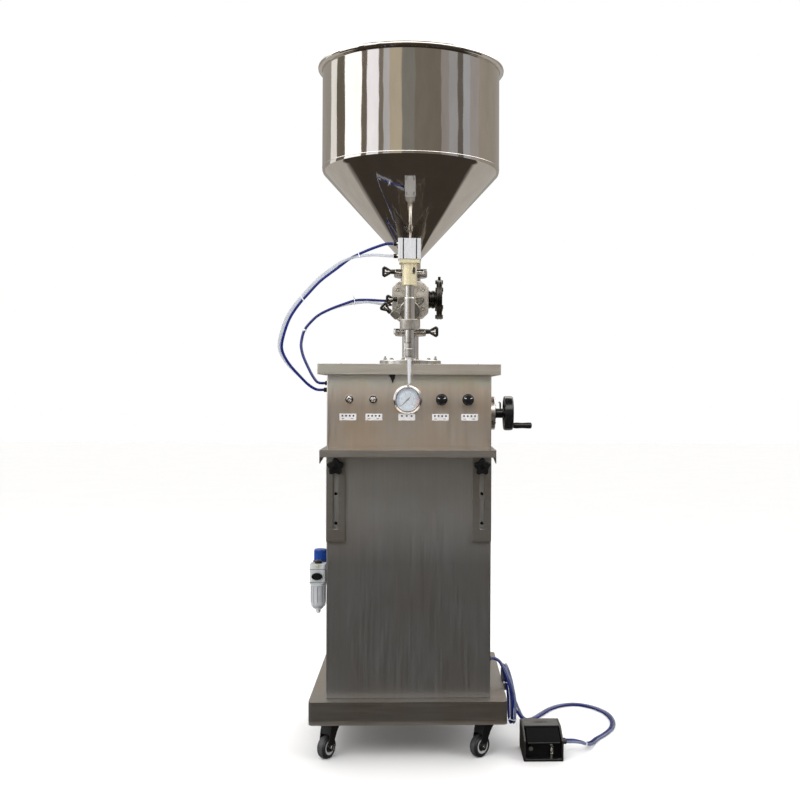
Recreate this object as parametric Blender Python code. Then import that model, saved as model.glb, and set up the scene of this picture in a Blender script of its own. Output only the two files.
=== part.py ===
"""Vertical pneumatic piston filler on a wheeled cabinet, in metres, +Z up.

Every size below is given in the machine's own frame: x = 0 is the plane through the hopper and the
nozzle, y = 0 the cabinet's front sheet (the operator stands at -Y), z = 0 the floor. An empty called
machine_frame then carries everything, so that the world origin is the middle of the standing box.
"""
import math

import bmesh
import bpy
from mathutils import Matrix, Vector

# ---------------------------------------------------------------- driving dimensions
GAP = 0.0003            # clearance between neighbouring solids
SHEET = 0.0015          # sheet steel of the casings
FINE = 32               # sides of the hopper
ROUND = 20              # sides of the larger turned pieces
SMALL = 16              # sides of the smaller turned pieces
BAR = 8                 # sides of pins, studs and ports

CABINET_W = 0.360
CABINET_D = 0.380
SIDE = CABINET_W / 2
CABINET_TOP = 0.6875
COVER_TOP = 0.8686
COVER_LIP = 0.0233
COVER_OVERHANG = 0.0195
COVER_FRONT = 0.0180

BASE_W = 0.432
BASE_FRONT = -0.030
BASE_BACK = 0.415
BASE_LOW = 0.0853
BASE_TOP = 0.1360
BASE_FLANGE = 0.090
HOOK_REACH = 0.2295      # outer edge of the hose hook on the base's right side
HOOK_TOP = 0.158
HOOK_Y = 0.169

WHEEL_R = 0.025
WHEEL_W = 0.020
CASTER_TRAIL = 0.018
CASTER_X = 0.171
CASTER_FRONT_Y = 0.032
CASTER_REAR_Y = 0.353
CASTERS = (
    ("front_left", -CASTER_X, CASTER_FRONT_Y, -120.0),
    ("front_right", CASTER_X, CASTER_FRONT_Y, -135.0),
    ("rear_left", -CASTER_X, CASTER_REAR_Y, -140.0),
    ("rear_right", CASTER_X, CASTER_REAR_Y, -115.0),
)

SHELF_TOP = 0.6895
SHELF_DEPTH = 0.1674
SHELF_LIP = 0.0152
EAR_DROP = 0.0125        # how far the gusset under each front corner hangs below the lip
LEG_W = 0.041
LEG_LOW = 0.4805
LEG_STAND_OFF = 0.0095
LEG_X = SIDE - LEG_W / 2
SLOT_W = 0.012
SLOT_LOW = 0.507
SLOT_HIGH = 0.6640
SHELF_KNOB_Z = 0.6455
SHELF_KNOB_R = 0.018
SHELF_HOLES_Z = (0.520, 0.5845, SHELF_KNOB_Z)

COLUMN_Y = 0.1435       # vertical axis of hopper, valve and cylinders
HOPPER_R = 0.204
HOPPER_WALL = 0.002
HOPPER_RIM = 1.5537
HOPPER_KNEE = 1.3120
HOPPER_NECK_TOP = 1.1140
HOPPER_NECK_R = 0.0230
RIM_BEAD = 0.006

FERRULE_RIM = 0.0018    # thickness of a clamp ferrule at its rim
FERRULE_TAPER = 0.0032
JOINT_GAP = 0.0002      # half the gap between two clamped ferrules
UPPER_JOINT = 1.0805    # hopper on valve
LOWER_JOINT = 0.9450    # valve on product cylinder
REAR_JOINT = 0.0780     # valve outlet on outlet pipe, along y
FRONT_JOINT = 0.0220    # outlet pipe on nozzle, along y
BIG_FERRULE, BIG_TUBE, BIG_CLAMP = 0.0320, 0.0230, 0.0385
MID_FERRULE, MID_TUBE, MID_CLAMP = 0.02525, 0.0190, 0.0360
MINI_FERRULE, MINI_TUBE, MINI_CLAMP = 0.0170, 0.0110, 0.0230

VALVE_HALF = 0.0415
VALVE_LOW = 0.979
VALVE_HIGH = 1.060
VALVE_CHAMFER = 0.014
VALVE_MID = 1.022       # axis of spool and end cap
SPOOL_R = 0.0200
CAP_R = 0.0460
CAP_DISC = (0.0603, 0.0729)
OUTLET_Z = 0.986

CYLINDER_BORE = 0.035
CYLINDER_NECK = MID_TUBE - 0.0016
TABLE_FLANGE_R = 0.0710  # flange that stands on the cover
TABLE_FLANGE_TOP = 0.8800
TIE_FLANGE_R = 0.0480    # flanges joining the product and the air cylinder
TIE_PLANE = 0.5920
PISTON_TOP = 0.866
ROD_R = 0.0100
AIR_LOW = 0.3500
AIR_BORE = 0.0400
AIR_ROOM = (0.3720, 0.5760)
ARM_ZS = (0.4280, 0.5800)
ARM_THICK = 0.008

NOZZLE_Y = -0.043
NOZZLE_FOOT = 0.9012
YOKE_LOW = 1.0357
YOKE_PLATE = 1.0823
ACTUATOR_LOW = 1.0903
ACTUATOR_HIGH = 1.1347
NEEDLE_HEAD = 1.0966     # underside of the needle's own piston
ACTUATOR_HALF = 0.0245

PANEL_Z = 0.7910
TOGGLE_XS = (-0.131, -0.079)
GAUGE_X = -0.0035
SPEED_KNOB_XS = (0.0706, 0.1288)

WHEEL_AXIS = Vector((0.0, 0.080, 0.760))      # handwheel axis, along x
HANDWHEEL_R = 0.039
CRANK_R = 0.0277
SCREW_X = 0.085
SCREW_R = 0.0050
SCREW_LOW = 0.4200
CARRIAGE_Z = 0.5600
GEAR_SMALL, GEAR_LARGE = 0.0080, 0.0160
GEAR_GAP = 0.0005

FRL_X = -0.208
FRL_FRONT_Y, FRL_REAR_Y = 0.110, 0.160

PEDAL_LEFT, PEDAL_RIGHT = 0.2530, 0.3405
PEDAL_WALL = 0.0045
PEDAL_PIVOT = Vector((0.3015, 0.027, 0.0605))
PEDAL_PORT_X = 0.3515

HOSE_R = 0.003
HOSE_STEP = 0.0175
PORT_R = 0.0048
PORT_LENGTH = 0.010

# air ports and glands: where each hose starts and ends
PEDAL_GLAND_YS = (0.1300, 0.1375)
PEDAL_GLAND_Z = 0.1900
LEFT_GLANDS = ((0.0400, 0.8115), (0.0480, 0.8115), (0.0720, 0.8265), (0.0800, 0.8265))
VALVE_PORTS_Z = (1.0185, 1.0105)
ACTUATOR_PORTS_Z = (1.1250, 1.0990)
PEDAL_PORT_YS = (0.0220, 0.0360)
PEDAL_PORT_Z = 0.0300

# how each small clamp sits on the outlet pipe: turned about it, and tipped on to it, in degrees
REAR_CLAMP_TURN = (180.0, 90.0)
FRONT_CLAMP_TURN = (221.4, -90.0)

# middle of the standing box in the machine's frame (regulator body to pedal port, shelf to base)
MIDDLE = Vector(((-0.2260 + PEDAL_PORT_X) / 2, (-SHELF_DEPTH + BASE_BACK) / 2, 0.0))

# colour, roughness, metallic
FINISHES = {
    "steel_base": ((0.30, 0.28, 0.25), 0.42, 1.0),
    "steel_cabinet": ((0.24, 0.23, 0.21), 0.40, 1.0),
    "steel_box": ((0.48, 0.44, 0.40), 0.38, 1.0),
    "steel_polished": ((0.66, 0.65, 0.63), 0.12, 1.0),
    "steel_cast": ((0.40, 0.38, 0.35), 0.35, 1.0),
    "steel_valve": ((0.50, 0.47, 0.42), 0.40, 1.0),
    "steel_dark": ((0.10, 0.10, 0.10), 0.45, 1.0),
    "aluminium": ((0.75, 0.76, 0.78), 0.30, 1.0),
    "brass": ((0.80, 0.68, 0.36), 0.32, 1.0),
    "plastic_black": ((0.02, 0.02, 0.02), 0.40, 0.0),
    "plastic_blue": ((0.02, 0.10, 0.55), 0.35, 0.0),
    "plastic_clear": ((0.85, 0.88, 0.90), 0.15, 0.0),
    "painted_black": ((0.03, 0.03, 0.03), 0.45, 0.0),
    "gauge_chrome": ((0.70, 0.71, 0.73), 0.15, 1.0),
    "needle_black": ((0.01, 0.01, 0.01), 0.40, 0.0),
    "wheel_rubber": ((0.05, 0.05, 0.05), 0.70, 0.0),
    "hose_blue": ((0.02, 0.06, 0.50), 0.30, 0.0),
    "hose_clear": ((0.75, 0.80, 0.85), 0.25, 0.0),
}

NODES = []


# ---------------------------------------------------------------- modelling helpers
def clear_scene():
    for obj in list(bpy.data.objects):
        bpy.data.objects.remove(obj, do_unlink=True)


def finish(name):
    """The named Principled material, made on first use."""
    found = bpy.data.materials.get(name)
    if found:
        return found
    colour, roughness, metallic = FINISHES[name]
    made = bpy.data.materials.new(name)
    made.use_nodes = True
    shader = made.node_tree.nodes["Principled BSDF"]
    shader.inputs["Base Color"].default_value = (*colour, 1.0)
    shader.inputs["Roughness"].default_value = roughness
    shader.inputs["Metallic"].default_value = metallic
    return made


def solid(bm, name="tool"):
    """An object of a closed bmesh, with its faces turned outwards."""
    bmesh.ops.recalc_face_normals(bm, faces=bm.faces[:])
    if bm.calc_volume(signed=True) < 0:
        bmesh.ops.reverse_faces(bm, faces=bm.faces[:])
    mesh = bpy.data.meshes.new(name)
    bm.to_mesh(mesh)
    bm.free()
    obj = bpy.data.objects.new(name, mesh)
    bpy.context.scene.collection.objects.link(obj)
    return obj


def on_axis(axis, radius, angle, along, centre):
    """A point at radius and angle round the named axis through centre."""
    side, lift = radius * math.cos(angle), radius * math.sin(angle)
    offset = {"X": (along, side, lift), "Y": (side, along, lift), "Z": (side, lift, along)}[axis]
    return Vector(centre) + Vector(offset)


def turned(outline, centre=(0, 0, 0), axis="Z", segments=SMALL, phase=0.0):
    """A solid of revolution; outline lists (radius, along) round the section.

    Radius 0 puts a point on the axis; where it is level with its neighbour, the end is one flat face.
    """
    bm = bmesh.new()
    rings = []
    for radius, along in outline:
        count = 1 if radius == 0 else segments
        rings.append([bm.verts.new(on_axis(axis, radius, math.tau * (k + phase) / segments, along, centre))
                      for k in range(count)])
    levels = [along for _, along in outline]
    for n, ring in enumerate(rings):
        m = (n + 1) % len(rings)
        following = rings[m]
        if len(ring) == 1 and len(following) == 1:
            continue
        if 1 in (len(ring), len(following)) and levels[n] == levels[m]:
            bm.faces.new(max(ring, following, key=len))
            continue
        for k in range(segments):
            corners = [ring[k % len(ring)], ring[(k + 1) % len(ring)],
                       following[(k + 1) % len(following)], following[k % len(following)]]
            bm.faces.new(list(dict.fromkeys(corners)))
    bmesh.ops.delete(bm, geom=[v for v in bm.verts if not v.link_faces], context="VERTS")
    return solid(bm)


def rod(start, end, radius, segments=BAR):
    """A plain round bar between two points."""
    start, end = Vector(start), Vector(end)
    length = (end - start).length
    turn = (end - start).to_track_quat("Z", "Y").to_matrix().to_4x4()
    bar = turned([(0, 0), (radius, 0), (radius, length), (0, length)], segments=segments, phase=0.5)
    bar.data.transform(Matrix.Translation(start) @ turn)
    return bar


def prism(outline, low, high, axis="Z"):
    """A flat outline pushed from low to high along the named axis."""
    def place(u, v, w):
        return {"X": (w, u, v), "Y": (u, w, v), "Z": (u, v, w)}[axis]

    bm = bmesh.new()
    ends = [[bm.verts.new(place(u, v, w)) for u, v in outline] for w in (low, high)]
    bm.faces.new(ends[0])
    bm.faces.new(ends[1])
    count = len(outline)
    for k in range(count):
        j = (k + 1) % count
        bm.faces.new((ends[0][k], ends[0][j], ends[1][j], ends[1][k]))
    return solid(bm)


def slab(low, high):
    """A box between two corners."""
    (x0, y0, z0), (x1, y1, z1) = low, high
    return prism([(x0, y0), (x1, y0), (x1, y1), (x0, y1)], z0, z1)


def rounded_rect(x0, x1, y0, y1, radius, steps=3):
    """Outline of a rectangle with round corners."""
    corners = ((x1 - radius, y1 - radius, 0), (x0 + radius, y1 - radius, 90),
               (x0 + radius, y0 + radius, 180), (x1 - radius, y0 + radius, 270))
    points = []
    for cx, cy, first in corners:
        for k in range(steps + 1):
            angle = math.radians(first + 90 * k / steps)
            points.append((cx + radius * math.cos(angle), cy + radius * math.sin(angle)))
    return points


def combine(target, operation, *tools):
    """Apply an exact Boolean of each tool to the target and drop the tools."""
    for tool in tools:
        step = target.modifiers.new(operation.lower(), "BOOLEAN")
        step.operation = operation
        step.object = tool
    bpy.context.view_layer.update()
    shape = bpy.data.meshes.new_from_object(
        target.evaluated_get(bpy.context.evaluated_depsgraph_get()))
    target.modifiers.clear()
    target.data = shape
    for tool in tools:
        bpy.data.objects.remove(tool, do_unlink=True)
    return target


def weld(target, *pieces):
    return combine(target, "UNION", *pieces)


def cut(target, *tools):
    return combine(target, "DIFFERENCE", *tools)


def keep(obj, name, finish_name, pivot=(0, 0, 0), smooth=True):
    """Name a finished sub-part, give it its material and put its origin on its joint axis."""
    obj.name = name
    obj.data.name = name
    obj.data.materials.clear()
    obj.data.materials.append(finish(finish_name))
    obj.data.transform(Matrix.Translation(-Vector(pivot)))
    obj.location = pivot
    if smooth:
        obj.data.shade_smooth()
        obj.data.set_sharp_from_angle(angle=math.radians(35))
    NODES.append(obj)
    return obj


def ferrule(tube, rim, face, towards):
    """Outer outline of a clamp ferrule whose flat face is at face; the tube lies towards."""
    back = face + towards * FERRULE_RIM
    root = back + towards * FERRULE_TAPER
    return [(rim, face), (rim, back), (tube, root)]


# ---------------------------------------------------------------- cart
def build_base():
    def plan(inset, radius):
        return rounded_rect(-BASE_W / 2 + inset, BASE_W / 2 - inset,
                            BASE_FRONT + inset, BASE_BACK - inset, radius)

    pan = prism(plan(0, 0.010), BASE_LOW, BASE_TOP)
    mouth = prism(plan(BASE_FLANGE, 0.010), BASE_LOW - 0.010, BASE_LOW + 0.010)
    inside = prism(plan(SHEET, 0.0085), BASE_LOW + SHEET, BASE_TOP - SHEET)
    hook = slab((BASE_W / 2 - 0.0008, HOOK_Y, 0.105), (HOOK_REACH, HOOK_Y + 0.0025, HOOK_TOP))
    weld(cut(pan, mouth, inside), hook)
    keep(pan, "base_pan", "steel_base", smooth=False)


def caster_frame(x, y, heading):
    """From the caster's own frame (x along its trail, z up, swivel axis at 0) to the machine's."""
    return Matrix.Translation((x, y, 0)) @ Matrix.Rotation(math.radians(heading), 4, "Z")


def build_casters():
    top = BASE_LOW - GAP
    cheek = [(-0.016, 0.0760), (0.017, 0.0760), (0.026, 0.034), (0.025, 0.017),
             (0.011, 0.017), (0.008, 0.034), (-0.016, 0.0700)]
    inner = WHEEL_W / 2 + 0.0012
    for name, x, y, heading in CASTERS:
        frame = caster_frame(x, y, heading)
        head = turned([(0, 0.0735), (0.0195, 0.0735), (0.0215, 0.0765), (0.0215, top), (0, top)])
        cheeks = [prism(cheek, side * inner, side * (inner + 0.0028), "Y") for side in (-1, 1)]
        axle = rod((CASTER_TRAIL, -inner - 0.005, WHEEL_R), (CASTER_TRAIL, inner + 0.005, WHEEL_R), 0.004)
        fork = weld(head, *cheeks, axle)
        fork.data.transform(frame)
        keep(fork, "caster_fork_" + name, "painted_black", (x, y, BASE_LOW))

        half = WHEEL_W / 2
        wheel = turned([(0.0044, -half), (0.0215, -half), (WHEEL_R, -half + 0.005),
                        (WHEEL_R, half - 0.005), (0.0215, half), (0.0044, half)],
                       (CASTER_TRAIL, 0, WHEEL_R), "Y", ROUND)
        wheel.data.transform(frame)
        keep(wheel, "caster_wheel_" + name, "wheel_rubber",
             frame @ Vector((CASTER_TRAIL, 0, WHEEL_R)))


# ---------------------------------------------------------------- casings
def wrap_outline():
    """Plan of a three-sided sheet wrap with returns at the back."""
    back = CABINET_D - 0.002
    lip = SIDE - 0.015
    outer = [(-lip, back - SHEET), (-lip, back), (-SIDE, back), (-SIDE, 0.002), (-SIDE + 0.002, 0),
             (SIDE - 0.002, 0), (SIDE, 0.002), (SIDE, back), (lip, back), (lip, back - SHEET)]
    inner = [(SIDE - SHEET, back - SHEET), (SIDE - SHEET, SHEET), (SHEET - SIDE, SHEET),
             (SHEET - SIDE, back - SHEET)]
    return outer + inner


def build_cabinet():
    shell = prism(wrap_outline(), BASE_TOP + GAP, CABINET_TOP)
    ports = [rod((SIDE - 0.001, y, PEDAL_GLAND_Z), (SIDE + PORT_LENGTH, y, PEDAL_GLAND_Z), PORT_R)
             for y in PEDAL_GLAND_YS]
    weld(shell, *ports)
    holes = [rod((side * LEG_X, -0.01, z), (side * LEG_X, 0.01, z), 0.0035, 8)
             for side in (-1, 1) for z in SHELF_HOLES_Z]
    cut(shell, *holes)
    keep(shell, "cabinet_shell", "steel_cabinet", smooth=False)

    panel = slab((-SIDE + GAP, CABINET_D - 0.002 + GAP, BASE_TOP + GAP),
                 (SIDE - GAP, CABINET_D, COVER_TOP - COVER_LIP - GAP))
    keep(panel, "rear_panel", "steel_cabinet", smooth=False)


def build_control_box():
    shell = prism(wrap_outline(), CABINET_TOP + GAP, COVER_TOP - SHEET - GAP)
    ports = [rod((-SIDE + 0.001, y, z), (-SIDE - PORT_LENGTH, y, z), PORT_R) for y, z in LEFT_GLANDS]
    weld(shell, *ports)
    holes = [(x, 0.0065) for x in TOGGLE_XS] + [(x, 0.0040) for x in SPEED_KNOB_XS] + [(GAUGE_X, 0.0258)]
    panel_holes = [rod((x, -0.01, PANEL_Z), (x, 0.01, PANEL_Z), radius, SMALL) for x, radius in holes]
    shaft_hole = rod((SIDE - 0.01, WHEEL_AXIS.y, WHEEL_AXIS.z), (SIDE + 0.01, WHEEL_AXIS.y, WHEEL_AXIS.z),
                     0.010, SMALL)
    cut(shell, *panel_holes, shaft_hole)
    keep(shell, "control_box_shell", "steel_box", smooth=False)

    manifold = slab((-SIDE + SHEET + GAP, 0.030, 0.700), (-0.100, 0.080, 0.762))
    keep(manifold, "solenoid_block", "aluminium", smooth=False)


def build_cover():
    half = SIDE + COVER_OVERHANG
    back = CABINET_D + COVER_FRONT
    low = COVER_TOP - COVER_LIP
    cover = prism(rounded_rect(-half, half, -COVER_FRONT, back, 0.002, 2), low, COVER_TOP)
    inside = slab((-half + SHEET, -COVER_FRONT + SHEET, low - 0.01),
                  (half - SHEET, back - SHEET, COVER_TOP - SHEET))
    bore = rod((0, COLUMN_Y, low), (0, COLUMN_Y, COVER_TOP + 0.01), 0.0400, ROUND)
    keep(cut(cover, inside, bore), "top_cover", "steel_box", smooth=False)


def build_shelf():
    """Bottle shelf: sheet platform, lips, corner ears and two slotted legs, folded as one."""
    low = SHELF_TOP - SHELF_LIP
    back = -2 * GAP
    shelf = slab((-SIDE, -SHELF_DEPTH, SHELF_TOP - SHEET), (SIDE, back, SHELF_TOP))
    front = slab((-SIDE, -SHELF_DEPTH, low), (SIDE, -SHELF_DEPTH + SHEET, SHELF_TOP - 0.0005))
    ear = [(-SHELF_DEPTH, SHELF_TOP - 0.0004), (-SHELF_DEPTH, low - EAR_DROP), (-0.020, low),
           (-0.020, SHELF_TOP - 0.0004)]
    sides = [prism(ear, side * SIDE, side * (SIDE - SHEET), "X") for side in (-1, 1)]
    weld(shelf, front, *sides)

    web = -LEG_STAND_OFF
    half = LEG_W / 2
    channel = [(-half, back), (-half, web), (half, web), (half, back), (half - SHEET, back),
               (half - SHEET, web + SHEET), (SHEET - half, web + SHEET), (SHEET - half, back)]
    for side in (-1, 1):
        leg = prism([(side * LEG_X + u, v) for u, v in channel], LEG_LOW, SHELF_TOP - 0.0008)
        end = SLOT_W / 2
        middle = side * LEG_X
        slot = prism([(middle + u, z) for u, z in rounded_slot(end, SLOT_LOW, SLOT_HIGH)],
                     web - 0.01, web + 0.005, "Y")
        weld(shelf, cut(leg, slot))
    keep(shelf, "bottle_shelf", "steel_box", (0, back, SHELF_TOP), smooth=False)


def rounded_slot(radius, low, high, steps=4):
    """Outline of an upright slot with round ends."""
    points = []
    for centre, first in ((high - radius, 0), (low + radius, 180)):
        for k in range(steps + 1):
            angle = math.radians(first + 180 * k / steps)
            points.append((radius * math.cos(angle), centre + radius * math.sin(angle)))
    return points


def build_shelf_knobs():
    """Star knobs whose studs pass the leg slots into the cabinet."""
    lobes = 5
    points = []
    for k in range(lobes * 4):
        angle = math.tau * k / (lobes * 4) + math.pi / 2
        radius = SHELF_KNOB_R * (1.0, 0.93, 0.80, 0.93)[k % 4]
        points.append((radius * math.cos(angle), radius * math.sin(angle)))
    face = -LEG_STAND_OFF - GAP
    for name, side in (("left", -1), ("right", 1)):
        x = side * LEG_X
        star = prism([(x + u, SHELF_KNOB_Z + v) for u, v in points], face - 0.020, face - 0.006, "Y")
        hub = rod((x, face, SHELF_KNOB_Z), (x, face - 0.010, SHELF_KNOB_Z), 0.0095)
        stud = rod((x, face - 0.004, SHELF_KNOB_Z), (x, 0.014, SHELF_KNOB_Z), 0.0031, 8)
        keep(weld(star, hub, stud), "shelf_knob_" + name, "plastic_black", (x, face, SHELF_KNOB_Z))


# ---------------------------------------------------------------- panel controls
def build_panel():
    for name, x, tilt in (("left", TOGGLE_XS[0], 18.0), ("right", TOGGLE_XS[1], 0.0)):
        pivot = Vector((x, -0.003, PANEL_Z))
        lever = turned([(0, 0.009), (0.0022, 0.009), (0.0022, 0.003), (0.0042, 0.001), (0.0042, -0.0015),
                        (0.0022, -0.0040), (0.0026, -0.0150), (0.0018, -0.0170), (0, -0.0170)],
                       axis="Y", segments=12)
        lever.data.transform(Matrix.Translation(pivot) @ Matrix.Rotation(math.radians(-tilt), 4, "X"))
        keep(lever, "toggle_lever_" + name, "gauge_chrome", pivot)

    for name, x in zip(("left", "right"), SPEED_KNOB_XS):
        knob = turned([(0, 0.014), (0.0032, 0.014), (0.0032, -0.001), (0.0108, -0.0012), (0.0116, -0.004),
                       (0.0110, -0.0185), (0.0095, -0.0200), (0, -0.0200)],
                      (x, 0, PANEL_Z), "Y")
        keep(knob, "speed_knob_" + name, "plastic_black", (x, 0, PANEL_Z))

    case = turned([(0, 0.030), (0.0250, 0.030), (0.0250, -GAP), (0.0320, -GAP), (0.0320, -0.0060),
                   (0.0290, -0.0105), (0.0270, -0.0105), (0.0265, -0.0045), (0, -0.0045)],
                  (GAUGE_X, 0, PANEL_Z), "Y", ROUND)
    keep(case, "gauge_case", "gauge_chrome")

    angle = math.radians(225)
    pointer = [(-0.0070, 0.0011), (0.0, 0.0024), (0.0205, 0.0003), (0.0205, -0.0003), (0.0, -0.0024),
               (-0.0070, -0.0011)]
    outline = [(GAUGE_X + u * math.cos(angle) - v * math.sin(angle),
                PANEL_Z + u * math.sin(angle) + v * math.cos(angle)) for u, v in pointer]
    keep(prism(outline, -0.0063, -0.0055, "Y"), "gauge_needle", "needle_black", (GAUGE_X, -0.0060, PANEL_Z))


# ---------------------------------------------------------------- stroke setting
def build_stroke_drive():
    y, z = WHEEL_AXIS.y, WHEEL_AXIS.z
    flange = SIDE + GAP
    bearing = turned([(0.0065, flange), (0.0375, flange), (0.0375, 0.1910), (0.0360, 0.1925),
                      (0.0110, 0.1925), (0.0110, 0.2112), (0.0065, 0.2112)], (0, y, z), "X", ROUND)
    lever = rod((0.2050, y, z + 0.009), (0.2050, y, z + 0.024), 0.0026, 8)
    lever_bar = rod((0.2050, y - 0.010, z + 0.0235), (0.2050, y + 0.006, z + 0.0235), 0.0022, 8)
    keep(weld(bearing, lever, lever_bar), "handwheel_bearing", "steel_cast")

    gear_small = SCREW_X + GEAR_SMALL
    gear_large = SCREW_X + GEAR_LARGE
    tip, heel = GEAR_SMALL - GEAR_GAP, GEAR_LARGE - GEAR_GAP
    wheel = turned([(0, gear_small), (tip, gear_small), (heel, gear_large), (heel, gear_large + 0.005),
                    (0.0060, gear_large + 0.005), (0.0060, 0.2118), (0.0105, 0.2118), (0.0105, 0.2215),
                    (0.0300, 0.2180), (0.0325, 0.2130), (HANDWHEEL_R - 0.001, 0.2135), (HANDWHEEL_R, 0.2180),
                    (HANDWHEEL_R - 0.0005, 0.2305), (0.0350, 0.2335), (0.0290, 0.2285), (0.0110, 0.2310),
                    (0, 0.2310)], (0, y, z), "X", ROUND)
    boss = rod((0.2220, y, z - CRANK_R), (0.2336, y, z - CRANK_R), 0.0072)
    pin = rod((0.2300, y, z - CRANK_R), (0.2752, y, z - CRANK_R), 0.0030, 8)
    keep(weld(wheel, boss, pin), "handwheel", "plastic_black", (SIDE, y, z))

    grip = turned([(0.0034, 0.2340), (0.0058, 0.2340), (0.0070, 0.2400), (0.0062, 0.2550), (0.0070, 0.2700),
                   (0.0058, 0.2765), (0, 0.2770), (0, 0.2756), (0.0034, 0.2756)],
                  (0, y, z - CRANK_R), "X", 12)
    keep(grip, "handwheel_grip", "plastic_black", (0.2340, y, z - CRANK_R))

    screw = turned([(0, z - GEAR_SMALL), (tip, z - GEAR_SMALL), (heel, z - GEAR_LARGE),
                    (heel, z - GEAR_LARGE - 0.005), (SCREW_R, z - GEAR_LARGE - 0.005),
                    (SCREW_R, SCREW_LOW), (0, SCREW_LOW)], (SCREW_X, y, 0), "Z", 12)
    keep(screw, "stroke_screw", "steel_polished", (SCREW_X, y, z))

    block = slab((SCREW_X - 0.012, y - 0.012, CARRIAGE_Z - 0.012),
                 (SCREW_X + 0.012, y + 0.012, CARRIAGE_Z + 0.012))
    switch = slab((SCREW_X - 0.029, y + 0.008, CARRIAGE_Z - 0.006),
                  (SCREW_X - 0.004, y + 0.046, CARRIAGE_Z + 0.006))
    thread = rod((SCREW_X, y, CARRIAGE_Z - 0.02), (SCREW_X, y, CARRIAGE_Z + 0.02), SCREW_R + 0.0004, 12)
    carriage = cut(weld(block, switch), thread)
    keep(carriage, "sensor_carriage", "brass", (SCREW_X, y, CARRIAGE_Z), smooth=False)


# ---------------------------------------------------------------- product side
def build_cylinders():
    top = LOWER_JOINT - JOINT_GAP
    foot = COVER_TOP + GAP
    outline = [(CYLINDER_NECK, top), *ferrule(MID_TUBE, MID_FERRULE, top, -1),
               (MID_TUBE, TABLE_FLANGE_TOP), (TABLE_FLANGE_R, TABLE_FLANGE_TOP), (TABLE_FLANGE_R, foot),
               (0.0380, foot), (0.0380, TIE_PLANE + 0.008), (TIE_FLANGE_R, TIE_PLANE + 0.008),
               (TIE_FLANGE_R, TIE_PLANE), (CYLINDER_BORE, TIE_PLANE), (CYLINDER_BORE, 0.8720),
               (CYLINDER_NECK, 0.8760)]
    keep(turned(outline, (0, COLUMN_Y, 0), segments=ROUND), "product_cylinder", "steel_polished")

    head = TIE_PLANE - GAP
    floor, roof = AIR_ROOM
    guide = ROD_R + 0.0004
    air = turned([(guide, head), (TIE_FLANGE_R, head), (TIE_FLANGE_R, head - 0.0137), (0.0450, head - 0.0137),
                  (0.0450, AIR_LOW + 0.020), (TIE_FLANGE_R, AIR_LOW + 0.020), (TIE_FLANGE_R, AIR_LOW),
                  (0, AIR_LOW), (0, floor), (AIR_BORE, floor), (AIR_BORE, roof), (guide, roof)],
                 (0, COLUMN_Y, 0), segments=ROUND)
    arms = []
    for z in ARM_ZS:
        arms.append(slab((0.030, WHEEL_AXIS.y - 0.010, z),
                         (SCREW_X + 0.012, WHEEL_AXIS.y + 0.026, z + ARM_THICK)))
        arms.append(slab((0.020, WHEEL_AXIS.y + 0.015, z + 0.0005),
                         (0.050, COLUMN_Y - 0.010, z + ARM_THICK - 0.0005)))
    hollow = turned([(0, floor), (AIR_BORE, floor), (AIR_BORE, roof - 0.001), (0, roof - 0.001)],
                    (0, COLUMN_Y, 0), segments=ROUND)
    screw_hole = rod((SCREW_X, WHEEL_AXIS.y, ARM_ZS[0] - 0.02), (SCREW_X, WHEEL_AXIS.y, ARM_ZS[1] + 0.02),
                     SCREW_R + 0.0004, 12)
    cut(weld(air, *arms), hollow, screw_hole)
    keep(air, "air_cylinder", "aluminium")

    piston = turned([(0, PISTON_TOP), (CYLINDER_BORE - GAP, PISTON_TOP),
                     (CYLINDER_BORE - GAP, PISTON_TOP - 0.028), (ROD_R, PISTON_TOP - 0.028),
                     (ROD_R, roof - 0.006), (AIR_BORE - GAP, roof - 0.006), (AIR_BORE - GAP, roof - 0.028),
                     (0, roof - 0.028)], (0, COLUMN_Y, 0), segments=ROUND)
    keep(piston, "piston", "steel_polished", (0, COLUMN_Y, PISTON_TOP))


def build_hopper():
    wall = HOPPER_WALL
    slope = (HOPPER_R - HOPPER_NECK_R) / (HOPPER_KNEE - HOPPER_NECK_TOP)
    run = wall * math.sqrt(1 + slope * slope)
    inner_neck = HOPPER_NECK_R - wall
    inner_low = HOPPER_NECK_TOP + (inner_neck + run - HOPPER_NECK_R) / slope
    inner_high = HOPPER_KNEE + (run - wall) / slope
    face = UPPER_JOINT + JOINT_GAP
    bead = [(HOPPER_R + RIM_BEAD * math.cos(math.radians(a)),
             HOPPER_RIM - RIM_BEAD + RIM_BEAD * math.sin(math.radians(a))) for a in (-90, -45, 0, 45, 90)]
    outline = [(inner_neck, face), *ferrule(HOPPER_NECK_R, BIG_FERRULE, face, 1),
               (HOPPER_NECK_R, HOPPER_NECK_TOP), (HOPPER_R, HOPPER_KNEE), *bead,
               (HOPPER_R - wall, HOPPER_RIM), (HOPPER_R - wall, inner_high), (inner_neck, inner_low)]
    keep(turned(outline, (0, COLUMN_Y, 0), segments=FINE), "hopper", "steel_polished")


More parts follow.
